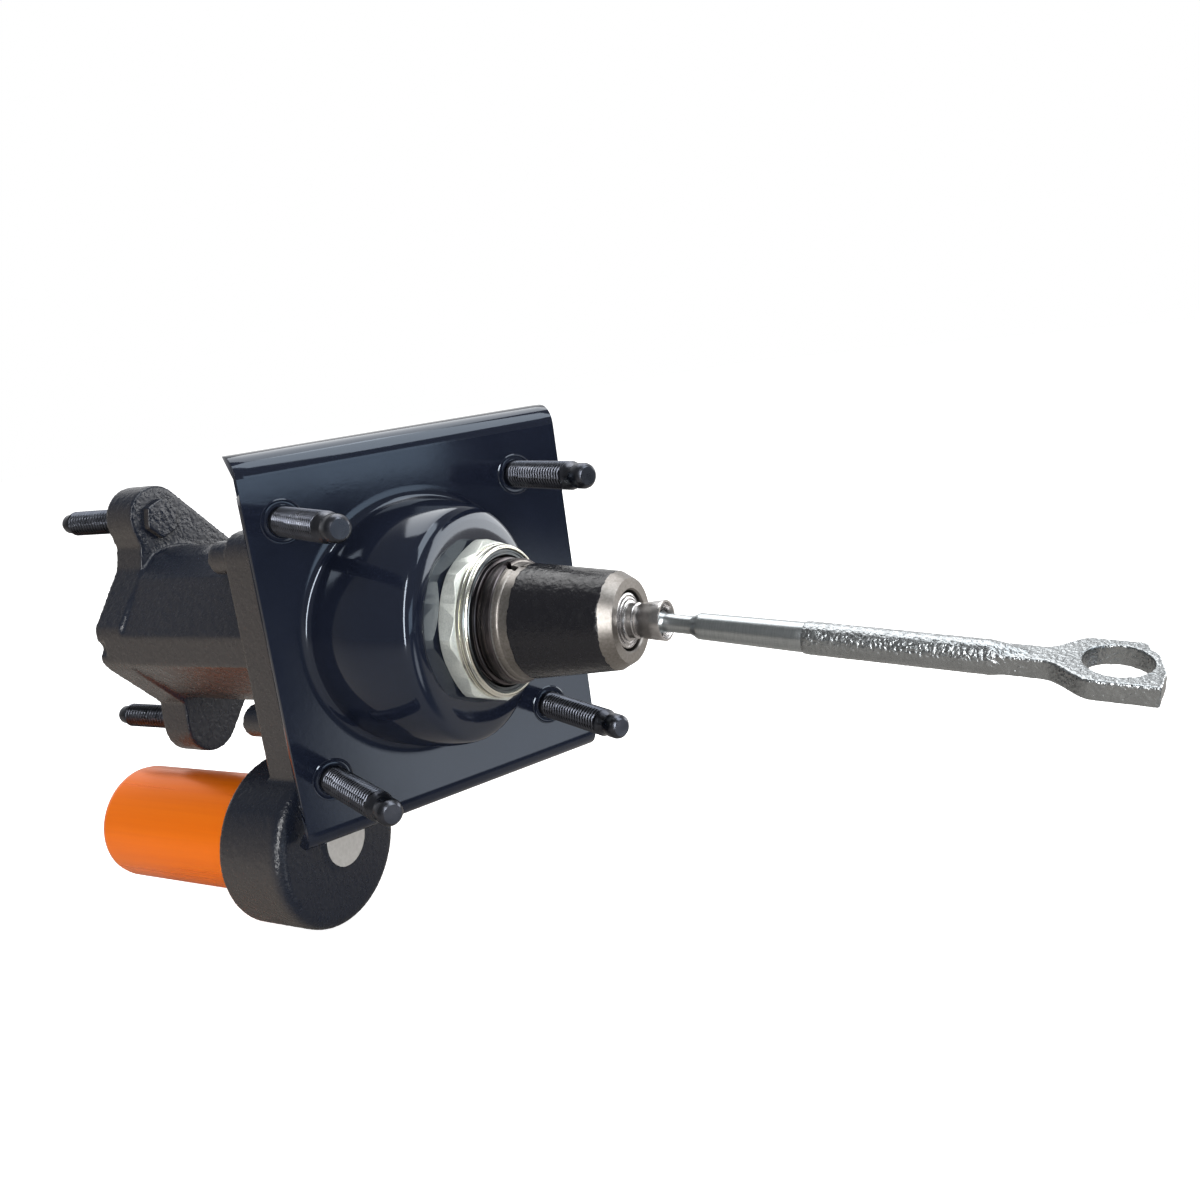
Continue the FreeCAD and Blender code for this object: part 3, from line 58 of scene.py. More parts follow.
# Camera. It stands left of the pushrod and a little above the booster, as the photographer did.
# The lens sees 56 degrees across a square picture.
camera_place = Vector((-0.16218, -0.33803, 0.08276))
camera_right = Vector((0.79825, -0.58805, -0.13032))
camera_up = Vector((0.23401, 0.10341, 0.96672))
camera_back = Vector((-0.55501, -0.80218, 0.22016))
bpy.ops.object.camera_add(location=camera_place)
camera = bpy.context.object
camera.matrix_world = Matrix.Translation(camera_place) @ Matrix(
    (camera_right, camera_up, camera_back)).transposed().to_4x4()
camera.data.sensor_width = 36.0
camera.data.lens = 33.53
camera.data.clip_start = 0.01
scene.camera = camera

# Studio. The backdrop ahead is white and the room behind the camera is dim in the reflections, while
# the room's plain light reaches every side. Windows and lamps give the black paint its highlights.
view_ahead = -camera_back
scene.view_settings.view_transform = "Standard"
room = bpy.data.worlds.new("studio_room")
scene.world = room
room.use_nodes = True
room_nodes = room.node_tree.nodes
room_links = room.node_tree.links
room_light = room_nodes["Background"]
room_place = room_nodes.new("ShaderNodeTexCoord")
room_ahead = room_nodes.new("ShaderNodeVectorMath")
room_ahead.operation = "DOT_PRODUCT"
room_ahead.inputs[1].default_value = view_ahead
room_fade = room_nodes.new("ShaderNodeMapRange")
room_fade.interpolation_type = "SMOOTHSTEP"
room_fade.inputs["From Min"].default_value = 0.0
room_fade.inputs["From Max"].default_value = 0.85
room_fade.inputs["To Min"].default_value = 0.18
room_fade.inputs["To Max"].default_value = 1.0
room_paths = room_nodes.new("ShaderNodeLightPath")
room_seen = room_nodes.new("ShaderNodeMath")
room_seen.operation = "MAXIMUM"
room_plain = room_nodes.new("ShaderNodeMath")
room_plain.operation = "MULTIPLY"
room_plain.inputs[1].default_value = 0.6
room_both = room_nodes.new("ShaderNodeMath")
room_both.operation = "MAXIMUM"
room_links.new(room_place.outputs["Generated"], room_ahead.inputs[0])
room_links.new(room_ahead.outputs["Value"], room_fade.inputs["Value"])
room_links.new(room_fade.outputs["Result"], room_seen.inputs[0])
room_links.new(room_paths.outputs["Is Camera Ray"], room_seen.inputs[1])
room_links.new(room_paths.outputs["Is Diffuse Ray"], room_plain.inputs[0])
room_links.new(room_seen.outputs["Value"], room_both.inputs[0])
room_links.new(room_plain.outputs["Value"], room_both.inputs[1])
room_links.new(room_both.outputs["Value"], room_light.inputs["Strength"])
room_light.inputs["Color"].default_value = (1.0, 1.0, 1.0, 1.0)

object_middle = Vector((0.0, -0.02, -0.01))
# Each lamp: name, direction from the object, distance, width, height, watts and colour.
soft_boxes = [
    ("top_sheet", (0.35, 0.30, 0.90), 1.0, 0.8, 0.8, 6.5, (1.0, 1.0, 1.0)),
    ("right_window", (1.0, -0.14, 0.0), 0.95, 0.7, 0.55, 4.6, (1.0, 1.0, 1.0)),
    ("rear_window", (0.30, -1.0, 0.06), 1.4, 0.6, 0.30, 1.1, (0.72, 0.86, 1.0)),
    ("rear_sky", (0.42, -0.45, 0.78), 1.1, 0.6, 0.8, 6.0, (0.93, 0.97, 1.0)),
    ("left_strip", (-0.52, -0.80, 0.22), 1.1, 0.17, 1.4, 14.0, (1.0, 1.0, 1.0)),
]
for name, direction, distance, width, height, power, tint in soft_boxes:
    direction = Vector(direction).normalized()
    bpy.ops.object.light_add(type="AREA", location=object_middle + direction * distance)
    lamp = bpy.context.object
    lamp.name = name
    lamp.rotation_euler = direction.to_track_quat("Z", "Y").to_euler()
    lamp.data.shape = "RECTANGLE"
    lamp.data.size = width
    lamp.data.size_y = height
    lamp.data.energy = power
    lamp.data.color = tint

# Floor. A plain pale sheet under the accumulator, wide enough to have no edge in view. The gloss
# paint sees it dim towards the camera, with one brighter patch that lights the plate's lower half.
bpy.ops.object.select_all(action="DESELECT")
floor_height = cad_box[0].z - 0.0005
bpy.ops.mesh.primitive_plane_add(size=8.0, location=(0.0, 0.0, floor_height))
floor = bpy.context.object
floor.name = "floor"
bpy.ops.object.transform_apply(location=True)
floor_finish = bpy.data.materials.new("pale_floor")
floor_finish.use_nodes = True
floor_nodes = floor_finish.node_tree.nodes
floor_links = floor_finish.node_tree.links
floor_shader = floor_nodes["Principled BSDF"]
floor_tone = floor_nodes.new("ShaderNodeMix")
floor_tone.data_type = "RGBA"
floor_tone.inputs["A"].default_value = (0.80, 0.80, 0.80, 1.0)
floor_tone.inputs["B"].default_value = (0.30, 0.28, 0.26, 1.0)
floor_rear = floor_nodes.new("ShaderNodeMix")
floor_rear.data_type = "RGBA"
floor_rear.inputs["B"].default_value = (0.045, 0.05, 0.06, 1.0)
floor_links.new(floor_tone.outputs["Result"], floor_rear.inputs["A"])
floor_links.new(floor_rear.outputs["Result"], floor_shader.inputs["Base Color"])
floor_shader.inputs["Roughness"].default_value = 0.9
floor_shader.inputs["Specular IOR Level"].default_value = 0.0
floor_paths = floor_nodes.new("ShaderNodeLightPath")
floor_links.new(floor_paths.outputs["Is Glossy Ray"], floor_tone.inputs["Factor"])
floor_place = floor_nodes.new("ShaderNodeNewGeometry")
floor_toward = floor_nodes.new("ShaderNodeVectorMath")
floor_toward.operation = "DOT_PRODUCT"
floor_toward.inputs[1].default_value = Vector((-0.455, 0.826, 0.330)).normalized()
floor_sheen = floor_nodes.new("ShaderNodeMapRange")
floor_sheen.interpolation_type = "SMOOTHSTEP"
floor_sheen.inputs["From Min"].default_value = 0.98
floor_sheen.inputs["From Max"].default_value = 0.9985
floor_sheen.inputs["To Min"].default_value = 0.0
floor_sheen.inputs["To Max"].default_value = 2.1
floor_dusk = floor_nodes.new("ShaderNodeMapRange")
floor_dusk.interpolation_type = "SMOOTHSTEP"
floor_dusk.inputs["From Min"].default_value = 0.85
floor_dusk.inputs["From Max"].default_value = 0.95
floor_shade = floor_nodes.new("ShaderNodeMath")
floor_shade.operation = "MULTIPLY"
floor_shine = floor_nodes.new("ShaderNodeMath")
floor_shine.operation = "MULTIPLY"
floor_links.new(floor_place.outputs["Incoming"], floor_toward.inputs[0])
floor_links.new(floor_toward.outputs["Value"], floor_dusk.inputs["Value"])
floor_links.new(floor_dusk.outputs["Result"], floor_shade.inputs[0])
floor_links.new(floor_paths.outputs["Is Glossy Ray"], floor_shade.inputs[1])
floor_links.new(floor_shade.outputs["Value"], floor_rear.inputs["Factor"])
floor_links.new(floor_toward.outputs["Value"], floor_sheen.inputs["Value"])
floor_links.new(floor_sheen.outputs["Result"], floor_shine.inputs[0])
floor_links.new(floor_paths.outputs["Is Glossy Ray"], floor_shine.inputs[1])
floor_glow = floor_nodes.new("ShaderNodeMath")
floor_glow.operation = "MULTIPLY"
floor_glow.inputs[1].default_value = 0.85
floor_shader.inputs["Emission Color"].default_value = (1.0, 1.0, 1.0, 1.0)
floor_links.new(floor_paths.outputs["Is Camera Ray"], floor_glow.inputs[0])
floor_sum = floor_nodes.new("ShaderNodeMath")
floor_links.new(floor_glow.outputs["Value"], floor_sum.inputs[0])
floor_links.new(floor_shine.outputs["Value"], floor_sum.inputs[1])
floor_links.new(floor_sum.outputs["Value"], floor_shader.inputs["Emission Strength"])
floor.data.materials.append(floor_finish)

# Mounting bracket. One pressed steel sheet with a slanted dome and bent edges, under gloss black
# paint that has a faint blue cast and a fine orange peel.
booster_yaw = math.radians(26.2)
booster_turn = (0.0, 0.0, booster_yaw)


def copy_of(node, name, smooth=30.0):
    """A copy of a CAD piece with its loose triangles merged and its round faces smooth."""
    piece = bpy.data.objects.new(name, frame["nodes"][node].data.copy())
    scene.collection.objects.link(piece)
    pick(piece)
    bpy.ops.object.mode_set(mode="EDIT")
    bpy.ops.mesh.select_all(action="SELECT")
    bpy.ops.mesh.remove_doubles(threshold=0.000002)
    bpy.ops.object.mode_set(mode="OBJECT")
    bpy.ops.object.shade_smooth_by_angle(angle=math.radians(smooth))
    return piece


def pick(piece):
    """Make one piece the only one selected."""
    bpy.ops.object.select_all(action="DESELECT")
    piece.select_set(True)
    bpy.context.view_layer.objects.active = piece


def new_finish(name, colour, metallic, roughness):
    """A material with one shader, returned with its node tree."""
    finish = bpy.data.materials.new(name)
    finish.use_nodes = True
    shader = finish.node_tree.nodes["Principled BSDF"]
    shader.inputs["Base Color"].default_value = (*colour, 1.0)
    shader.inputs["Metallic"].default_value = metallic
    shader.inputs["Roughness"].default_value = roughness
    return finish, finish.node_tree, shader


def grain(tree, size, detail=4.0, stretch=(1.0, 1.0, 1.0), turn=(0.0, 0.0, 0.0)):
    """Noise on object coordinates, with features of a real size in metres."""
    place = tree.nodes.new("ShaderNodeTexCoord")
    fit = tree.nodes.new("ShaderNodeMapping")
    fit.vector_type = "TEXTURE"
    fit.inputs["Rotation"].default_value = turn
    fit.inputs["Scale"].default_value = [size * k for k in stretch]
    noise = tree.nodes.new("ShaderNodeTexNoise")
    noise.inputs["Scale"].default_value = 1.0
    noise.inputs["Detail"].default_value = detail
    tree.links.new(place.outputs["Object"], fit.inputs["Vector"])
    tree.links.new(fit.outputs["Vector"], noise.inputs["Vector"])
    return noise.outputs["Fac"]


def spread(tree, value, low, high, start=0.3, end=0.7):
    """Stretch a noise value between two limits."""
    ramp = tree.nodes.new("ShaderNodeMapRange")
    ramp.inputs["From Min"].default_value = start
    ramp.inputs["From Max"].default_value = end
    ramp.inputs["To Min"].default_value = low
    ramp.inputs["To Max"].default_value = high
    tree.links.new(value, ramp.inputs["Value"])
    return ramp.outputs["Result"]


def blend_colours(tree, value, first, second):
    """A colour between two, by a value."""
    mix = tree.nodes.new("ShaderNodeMix")
    mix.data_type = "RGBA"
    mix.inputs["A"].default_value = (*first, 1.0)
    mix.inputs["B"].default_value = (*second, 1.0)
    tree.links.new(value, mix.inputs["Factor"])
    return mix.outputs["Result"]


def relief(tree, shader, height, depth, strength=1.0):
    """Bump of a real depth in metres. A second call lies on top of the first."""
    bump = tree.nodes.new("ShaderNodeBump")
    bump.inputs["Distance"].default_value = depth
    bump.inputs["Strength"].default_value = strength
    tree.links.new(height, bump.inputs["Height"])
    under = shader.inputs["Normal"].links
    if under:
        tree.links.new(under[0].from_socket, bump.inputs["Normal"])
    tree.links.new(bump.outputs["Normal"], shader.inputs["Normal"])


def break_edges(piece, width, segments=2, sharper_than=30.0):
    """Bevel the edges that turn by more than an angle in degrees."""
    bevel = piece.modifiers.new("broken_edges", "BEVEL")
    bevel.width = width
    bevel.segments = segments
    bevel.limit_method = "ANGLE"
    bevel.angle_limit = math.radians(sharper_than)
    bpy.ops.object.modifier_apply(modifier="broken_edges")


def sheet_of_rows(name, rows):
    """A smooth skin through rows of points, closed along each row."""
    across = len(rows[0])
    bpy.ops.object.select_all(action="DESELECT")
    bpy.ops.mesh.primitive_grid_add(x_subdivisions=across, y_subdivisions=len(rows) - 1, size=1.0)
    piece = bpy.context.object
    piece.name = name
    for index, vertex in enumerate(piece.data.vertices):
        row, column = divmod(index, across + 1)
        vertex.co = rows[row][column % across]
    bpy.ops.object.mode_set(mode="EDIT")
    bpy.ops.mesh.select_all(action="SELECT")
    bpy.ops.mesh.remove_doubles(threshold=0.000004)
    bpy.ops.mesh.normals_make_consistent(inside=False)
    bpy.ops.object.mode_set(mode="OBJECT")
    return piece


gloss_black, tree, shader = new_finish("gloss_black_paint", (0.0065, 0.0085, 0.016), 0.0, 0.09)
shader.inputs["Specular Tint"].default_value = (0.78, 0.88, 1.0, 1.0)
shader.inputs["Specular IOR Level"].default_value = 0.6
tree.links.new(spread(tree, grain(tree, 0.02), 0.06, 0.12), shader.inputs["Roughness"])
relief(tree, shader, grain(tree, 0.0022, 2.0), 0.000006)
relief(tree, shader, grain(tree, 0.0007, 1.0), 0.000003)

columns = 192
sheet = 0.0030
seat_depth = 0.0235
fold_x = seat_depth / math.sin(booster_yaw)
seat_middle = seat_depth / math.tan(booster_yaw)
hole_radius = 0.0213
# Control ovals of the dome: share of the tilt, far side, near side and half height. The far and near
# sides are measured from the line where the seat's plane meets the plate.
dome_controls = [
    (0.0, 0.0988, 0.0103, 0.0462),
    (0.0, 0.0952, 0.0112, 0.0424),
    (0.10, 0.0944, 0.0117, 0.0417),
    (0.45, 0.0932, 0.0128, 0.0412),
    (0.82, 0.0891, 0.0146, 0.0398),
    (1.0, 0.0868, 0.0162, 0.0378),
    (1.0, 0.0808, 0.0208, 0.0318),
]


def oval_point(control, column):
    """One point of an oval on a plane that is tilted about the fold line."""
    share, far, near, half_height = control
    turn = 2 * math.pi * column / columns
    out = (far + near) / 2 + (far - near) / 2 * math.sin(turn)
    tilt = share * booster_yaw
    return Vector((fold_x - out * math.cos(tilt), -out * math.sin(tilt), half_height * math.cos(turn)))


def between(first, second, share):
    """A control oval part of the way from one to another."""
    return tuple(a + (b - a) * share for a, b in zip(first, second))


ovals = [(1.0, seat_middle + hole_radius, seat_middle - hole_radius, hole_radius),
         (1.0, 0.0804, 0.0212, 0.0314)]
steps = 7
middles = [dome_controls[0]]
middles += [between(a, b, 0.5) for a, b in zip(dome_controls[1:-2], dome_controls[2:-1])]
middles += [dome_controls[-1]]
arcs = []
for start, control, end in zip(middles[:-1], dome_controls[1:-1], middles[1:]):
    for i in range(steps):
        share = i / steps
        arcs.append(between(between(start, control, share), between(control, end, share), share))
arcs.append(dome_controls[-1])
ovals += arcs[::-1]
foot_far, foot_near, foot_height = 0.0991, 0.0100, 0.0465
ovals.append((0.0, foot_far, foot_near, foot_height))
rows = [[oval_point(oval, column) for column in range(columns)] for oval in ovals]

plate_left, plate_right, plate_top, plate_low = -0.0546, 0.0616, 0.0580, -0.0585
bend = 0.0070
heart = Vector((fold_x - (foot_far + foot_near) / 2, 0.0, 0.0))
edge = []
for column in range(columns):
    away = rows[-1][column] - heart
    reach = min(((plate_right if away.x > 0 else plate_left) - heart.x) / away.x if away.x else 9.0,
                ((plate_top if away.z > 0 else plate_low) - heart.z) / away.z if away.z else 9.0)
    edge.append(heart + away * reach)
for corner in [Vector((x, 0.0, z)) for x in (plate_left, plate_right) for z in (plate_top, plate_low)]:
    nearest = min(range(columns), key=lambda column: (edge[column] - corner).length)
    edge[nearest] = corner
edge_band = 0.004
rows.append([point + (heart - point) * edge_band for point in edge])
rows.append(edge)


low_edge_share = 1.75


def bent_row(angle, flange, inset):
    """The plate's edge carried round its bends, and then along the bent edges. The lower one is longer."""
    row = []
    for point in edge:
        point = point.copy()
        up = 1 if point.z > 0 else -1
        if abs(point.z - (plate_top if up > 0 else plate_low)) < 1e-6:
            long_edge = flange * (1.0 if up > 0 else low_edge_share)
            point.y = bend * (1 - math.cos(angle)) + long_edge
            point.z += up * bend * math.sin(angle)
            point.x = min(max(point.x, plate_left + inset), plate_right - inset)
        row.append(point)
    return row


bend_steps = 8
for i in range(1, bend_steps + 1):
    rows.append(bent_row(math.pi / 2 * i / bend_steps, 0.0, 0.0))
corner_radius = 0.0025
top_edge = 0.0040
for share in (0.375, 0.55, 0.7, 0.82, 0.91, 0.97, 1.0):
    left_over = max(0.0, corner_radius - top_edge * (1.0 - share))
    rows.append(bent_row(math.pi / 2, top_edge * share,
                         corner_radius - math.sqrt(corner_radius ** 2 - left_over ** 2)))
bracket = sheet_of_rows("pressed_bracket", rows)
if bracket.data.polygons[0].normal.y > 0:
    bpy.ops.object.mode_set(mode="EDIT")
    bpy.ops.mesh.select_all(action="SELECT")
    bpy.ops.mesh.flip_normals()
    bpy.ops.object.mode_set(mode="OBJECT")
wall = bracket.modifiers.new("sheet", "SOLIDIFY")
wall.thickness = sheet
wall.offset = -1.0
wall.use_even_offset = False
wall.use_quality_normals = True
bpy.ops.object.modifier_apply(modifier="sheet")
break_edges(bracket, 0.0004, sharper_than=50.0)
bpy.ops.object.shade_smooth_by_angle(angle=math.radians(35.0))
bracket.data.materials.append(gloss_black)
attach(bracket, "booster_body")
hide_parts("mounting_bracket")

# Firewall studs. Four black studs pressed in from behind, with a rolled 3/8 in thread, a plain lead
# and a rounded dog point.
stud_gap = 0.085725
stud_radius = 0.0047625
thread_pitch = 0.0015875
thread_depth = 0.0009


def turned(name, outline, x=0.0, z=0.0, sides=64, closed=False):
    """A turned piece about a line along Y through (x, z), from (radius, y) points in metres.
    The line starts and ends on the axis, or is closed for a ring."""
    bpy.ops.object.select_all(action="DESELECT")
    bpy.ops.mesh.primitive_plane_add(size=0.001, location=(0.0, 0.0, 0.0))
    piece = bpy.context.object
    piece.name = name
    bpy.ops.object.mode_set(mode="EDIT")
    bpy.ops.mesh.merge(type="CENTER")
    bpy.ops.transform.translate(value=(x + outline[0][0], outline[0][1], z))
    last = outline[0]
    for point in outline[1:]:
        step = (point[0] - last[0], point[1] - last[1], 0.0)
        bpy.ops.mesh.extrude_vertices_move(TRANSFORM_OT_translate={"value": step})
        last = point
    bpy.ops.mesh.select_all(action="SELECT")
    if closed:
        step = (outline[0][0] - last[0], outline[0][1] - last[1], 0.0)
        bpy.ops.mesh.select_all(action="DESELECT")
        bpy.ops.object.mode_set(mode="OBJECT")
        piece.data.vertices[len(outline) - 1].select = True
        bpy.ops.object.mode_set(mode="EDIT")
        bpy.ops.mesh.extrude_vertices_move(TRANSFORM_OT_translate={"value": step})
        bpy.ops.mesh.select_all(action="SELECT")
    bpy.ops.mesh.spin(steps=sides, angle=2 * math.pi, center=(x, 0.0, z), axis=(0.0, 1.0, 0.0))
    bpy.ops.mesh.select_all(action="SELECT")
    bpy.ops.mesh.remove_doubles(threshold=0.000002)
    bpy.ops.mesh.normals_make_consistent(inside=False)
    bpy.ops.object.mode_set(mode="OBJECT")
    bpy.ops.object.shade_smooth_by_angle(angle=math.radians(32.0))
    return piece


def thread_rings(start, end, radius, pitch, rings=8):
    """Outline points along a threaded length, close enough to carry the thread."""
    count = max(2, round(abs(end - start) / pitch * rings))
    return [(radius, start + (end - start) * i / count) for i in range(count + 1)]


def cut_thread(piece, radius, pitch, depth, start, end, x=0.0, z=0.0):
    """Move a turned piece's skin into a helical thread between two places along Y, and give the faces deep in
    its root the second material, a painted shade.
    """
    run_out = pitch * 0.8
    flank_slope, crest_share, shade_depth_share = 1.75, 0.3, 0.45
    low, high = min(start, end), max(start, end)
    for vertex in piece.data.vertices:
        across, up = vertex.co.x - x, vertex.co.z - z
        away = math.hypot(across, up)
        if abs(away - radius) > 0.00002 or not low <= vertex.co.y <= high:
            continue
        turn_share = math.atan2(up, across) / (2 * math.pi)
        phase = ((vertex.co.y - low) / pitch - turn_share) % 1.0
        groove = min(1.0, max(0.0, flank_slope * (1.0 - abs(2.0 * phase - 1.0)) - crest_share))
        fade = min(1.0, (vertex.co.y - low) / run_out, (high - vertex.co.y) / run_out)
        shrink = (away - depth * groove * fade) / away
        vertex.co.x = x + across * shrink
        vertex.co.z = z + up * shrink
    # Faces deep in the thread's root take the second material: painted shade in the root.
    for face in piece.data.polygons:
        away = math.hypot(face.center.x - x, face.center.z - z)
        if low < face.center.y < high and away < radius - depth * shade_depth_share:
            face.material_index = 1
    pick(piece)
    bpy.ops.object.shade_smooth_by_angle(angle=math.radians(50.0))


stud_black, tree, shader = new_finish("black_oxide", (0.13, 0.138, 0.16), 1.0, 0.3)
tree.links.new(spread(tree, grain(tree, 0.004), 0.24, 0.36), shader.inputs["Roughness"])
tree.links.new(blend_colours(tree, grain(tree, 0.006), (0.045, 0.05, 0.065), (0.10, 0.105, 0.12)),
               shader.inputs["Base Color"])
# Near-black matt finish for the thread roots, a painted shade in the crease.
root_shade_finish, tree, shader = new_finish("painted_root_shade", (0.002, 0.002, 0.003), 0.0, 0.85)
shader.inputs["Specular IOR Level"].default_value = 0.15

thread_start = -0.0015
thread_end = -0.0352
# The ring that the pressing leaves round each stud, under the bracket's paint.
press_mark = [(0.0049, 0.0004), (0.0049, -0.0001), (0.0052, -0.00022), (0.0055, -0.0001), (0.0062, -0.00006),
              (0.0065, -0.00024), (0.0068, -0.00024), (0.0071, -0.00002), (0.0071, 0.0004)]
stud_outline = [(0.0, 0.0065), (0.0070, 0.0065), (0.0080, 0.0055), (0.0080, 0.0030), (0.00475, 0.0030),
                (0.00475, 0.0), (stud_radius, -0.0010)]
stud_outline += thread_rings(thread_start, thread_end, stud_radius, thread_pitch)
stud_outline += [(0.0043, -0.0359), (0.00415, -0.0362), (0.00385, -0.0376), (0.0037, -0.0379),
                 (0.0037, -0.0386), (0.0041, -0.0391), (0.0042, -0.0396), (0.0042, -0.0424),
                 (0.0040, -0.0432), (0.0034, -0.0440), (0.0029, -0.0444), (0.0, -0.0444)]
for column, x in (("left", -stud_gap / 2), ("right", stud_gap / 2)):
    for row, z in (("lower", -stud_gap / 2), ("upper", stud_gap / 2)):
        stud = turned("firewall_stud_" + row + "_" + column, [(r, y) for r, y in stud_outline], x, z)
        cut_thread(stud, stud_radius, thread_pitch, thread_depth, thread_start, thread_end, x, z)
        stud.data.materials.append(stud_black)
        stud.data.materials.append(root_shade_finish)
        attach(stud, "booster_body")
        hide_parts("firewall_studs")
        mark = turned("press_mark_" + row + "_" + column, press_mark, x, z, closed=True)
        mark.data.materials.append(gloss_black)
        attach(mark, "booster_body")

# Bracket nut. An eight-sided steel nut with a chamfered front and a raised round collar, under
# pale yellowish zinc. It pulls the bracket's seat against the cover's shoulder.


def set_booster(piece):
    """Turn a piece made along Y into the booster's own direction."""
    pick(piece)
    piece.rotation_euler[2] = booster_yaw
    bpy.ops.object.transform_apply(rotation=True)


nut_zinc, tree, shader = new_finish("yellowish_zinc", (0.62, 0.63, 0.58), 0.75, 0.42)
tree.links.new(blend_colours(tree, grain(tree, 0.0005, 3.0), (0.46, 0.49, 0.46), (0.84, 0.86, 0.80)),
               shader.inputs["Base Color"])
tree.links.new(spread(tree, grain(tree, 0.0006, 3.0), 0.34, 0.52), shader.inputs["Roughness"])
relief(tree, shader, grain(tree, 0.0004, 3.0), 0.00002)
nut_bright, tree, shader = new_finish("yellowish_zinc_turned", (0.80, 0.80, 0.72), 1.0, 0.22)
tree.links.new(blend_colours(tree, grain(tree, 0.006), (0.72, 0.76, 0.74), (0.86, 0.82, 0.68)),
               shader.inputs["Base Color"])

nut_back = -0.0295
nut = copy_of("bracket_nut", "bracket_nut_body")
bpy.ops.object.mode_set(mode="EDIT")
bpy.ops.mesh.select_all(action="SELECT")
booster_ahead = Vector((-math.sin(booster_yaw), math.cos(booster_yaw), 0.0))
bpy.ops.mesh.bisect(plane_co=booster_ahead * (nut_back - 0.00002), plane_no=booster_ahead, use_fill=False,
                    clear_inner=True)
bpy.ops.object.mode_set(mode="OBJECT")
break_edges(nut, 0.0003, sharper_than=20.0)
nut.data.materials.clear()
nut.data.materials.append(nut_zinc)
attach(nut, "booster_body")
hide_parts("bracket_nut")

collar = turned("bracket_nut_collar", [
    (0.0214, nut_back + 0.0010), (0.0253, nut_back + 0.0010), (0.0253, nut_back), (0.0252, nut_back - 0.0003),
    (0.0252, nut_back - 0.0009), (0.0250, nut_back - 0.0011), (0.02455, nut_back - 0.0012),
    (0.0245, nut_back - 0.0014), (0.0245, nut_back - 0.0016), (0.02485, nut_back - 0.0018),
    (0.0250, nut_back - 0.0020), (0.0250, nut_back - 0.0025), (0.0247, nut_back - 0.0028),
    (0.0243, nut_back - 0.0029), (0.0243, nut_back - 0.0031), (0.0241, nut_back - 0.0034),
    (0.0237, nut_back - 0.0034), (0.0235, nut_back - 0.0032), (0.0235, nut_back - 0.0010)],
    sides=128, closed=True)
set_booster(collar)
collar.data.materials.append(nut_bright)
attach(collar, "booster_body")
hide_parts("bracket_nut")

mouth_blue, tree, shader = new_finish("oiled_bluish_steel", (0.10, 0.12, 0.135), 1.0, 0.3)
tree.links.new(blend_colours(tree, grain(tree, 0.004), (0.06, 0.075, 0.09), (0.17, 0.18, 0.18)),
               shader.inputs["Base Color"])
mouth = turned("bracket_nut_mouth", [
    (0.0213, nut_back - 0.0010), (0.0236, nut_back - 0.0010), (0.0236, nut_back - 0.0026),
    (0.0232, nut_back - 0.0029), (0.0228, nut_back - 0.0029), (0.0226, nut_back - 0.0026),
    (0.0223, nut_back - 0.0026), (0.0221, nut_back - 0.0029), (0.0217, nut_back - 0.0029),
    (0.0213, nut_back - 0.0024)], sides=128, closed=True)
set_booster(mouth)
mouth.data.materials.append(mouth_blue)
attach(mouth, "booster_body")
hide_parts("bracket_nut")

# Neck of the rear cover. A turned steel thread with a groove and a smooth collar, then the cast
# sleeve under thick black paint, then the bare turned end around the input rod.


def lathe_marks(tree, shader, depth=0.00002, turn=booster_turn):
    """Fine rings left by the tool, round a piece's own axis."""
    relief(tree, shader, grain(tree, 0.0003, 2.0, (20.0, 0.8, 20.0), turn), depth)


neck_dark, tree, shader = new_finish("oiled_neck_steel", (0.09, 0.08, 0.085), 1.0, 0.28)
tree.links.new(blend_colours(tree, grain(tree, 0.0004, 2.0, (12.0, 1.0, 12.0), booster_turn),
                             (0.045, 0.04, 0.047), (0.16, 0.145, 0.145)), shader.inputs["Base Color"])
lathe_marks(tree, shader)

neck_steel, tree, shader = new_finish("turned_neck_steel", (0.25, 0.235, 0.22), 1.0, 0.38)
tree.links.new(blend_colours(tree, grain(tree, 0.0008, 5.0), (0.15, 0.135, 0.12), (0.34, 0.325, 0.31)),
               shader.inputs["Base Color"])
lathe_marks(tree, shader)
relief(tree, shader, grain(tree, 0.0004, 3.0), 0.00001)

sleeve_black, tree, shader = new_finish("thick_black_paint", (0.006, 0.006, 0.008), 0.0, 0.22)
shader.inputs["Specular IOR Level"].default_value = 0.4
tree.links.new(spread(tree, grain(tree, 0.003), 0.20, 0.32), shader.inputs["Roughness"])
relief(tree, shader, grain(tree, 0.0018, 3.0), 0.00030)
relief(tree, shader, grain(tree, 0.0007, 2.0), 0.00003)

neck_pitch = 0.0015
neck_radius = 0.0208
neck_thread_depth = 0.0008
neck_thread_start, neck_thread_end = -0.0205, -0.0334
neck_thread = turned("neck_thread", [(0.0098, -0.0190), (neck_radius, -0.0190)]
                     + thread_rings(neck_thread_start, neck_thread_end, neck_radius, neck_pitch)
                     + [(0.0205, -0.03365), (0.0195, -0.0338), (0.0194, -0.0349), (0.0202, -0.0351),
                        (0.0203, -0.0354), (0.0203, -0.0370), (0.02015, -0.0371), (0.0203, -0.0372),
                        (0.0203, -0.0384), (0.0200, -0.0387), (0.0098, -0.0387)], sides=96, closed=True)
cut_thread(neck_thread, neck_radius, neck_pitch, neck_thread_depth, neck_thread_start, neck_thread_end)
set_booster(neck_thread)
neck_thread.data.materials.append(neck_dark)
neck_thread.data.materials.append(root_shade_finish)
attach(neck_thread, "booster_body")
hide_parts("rear_cover")

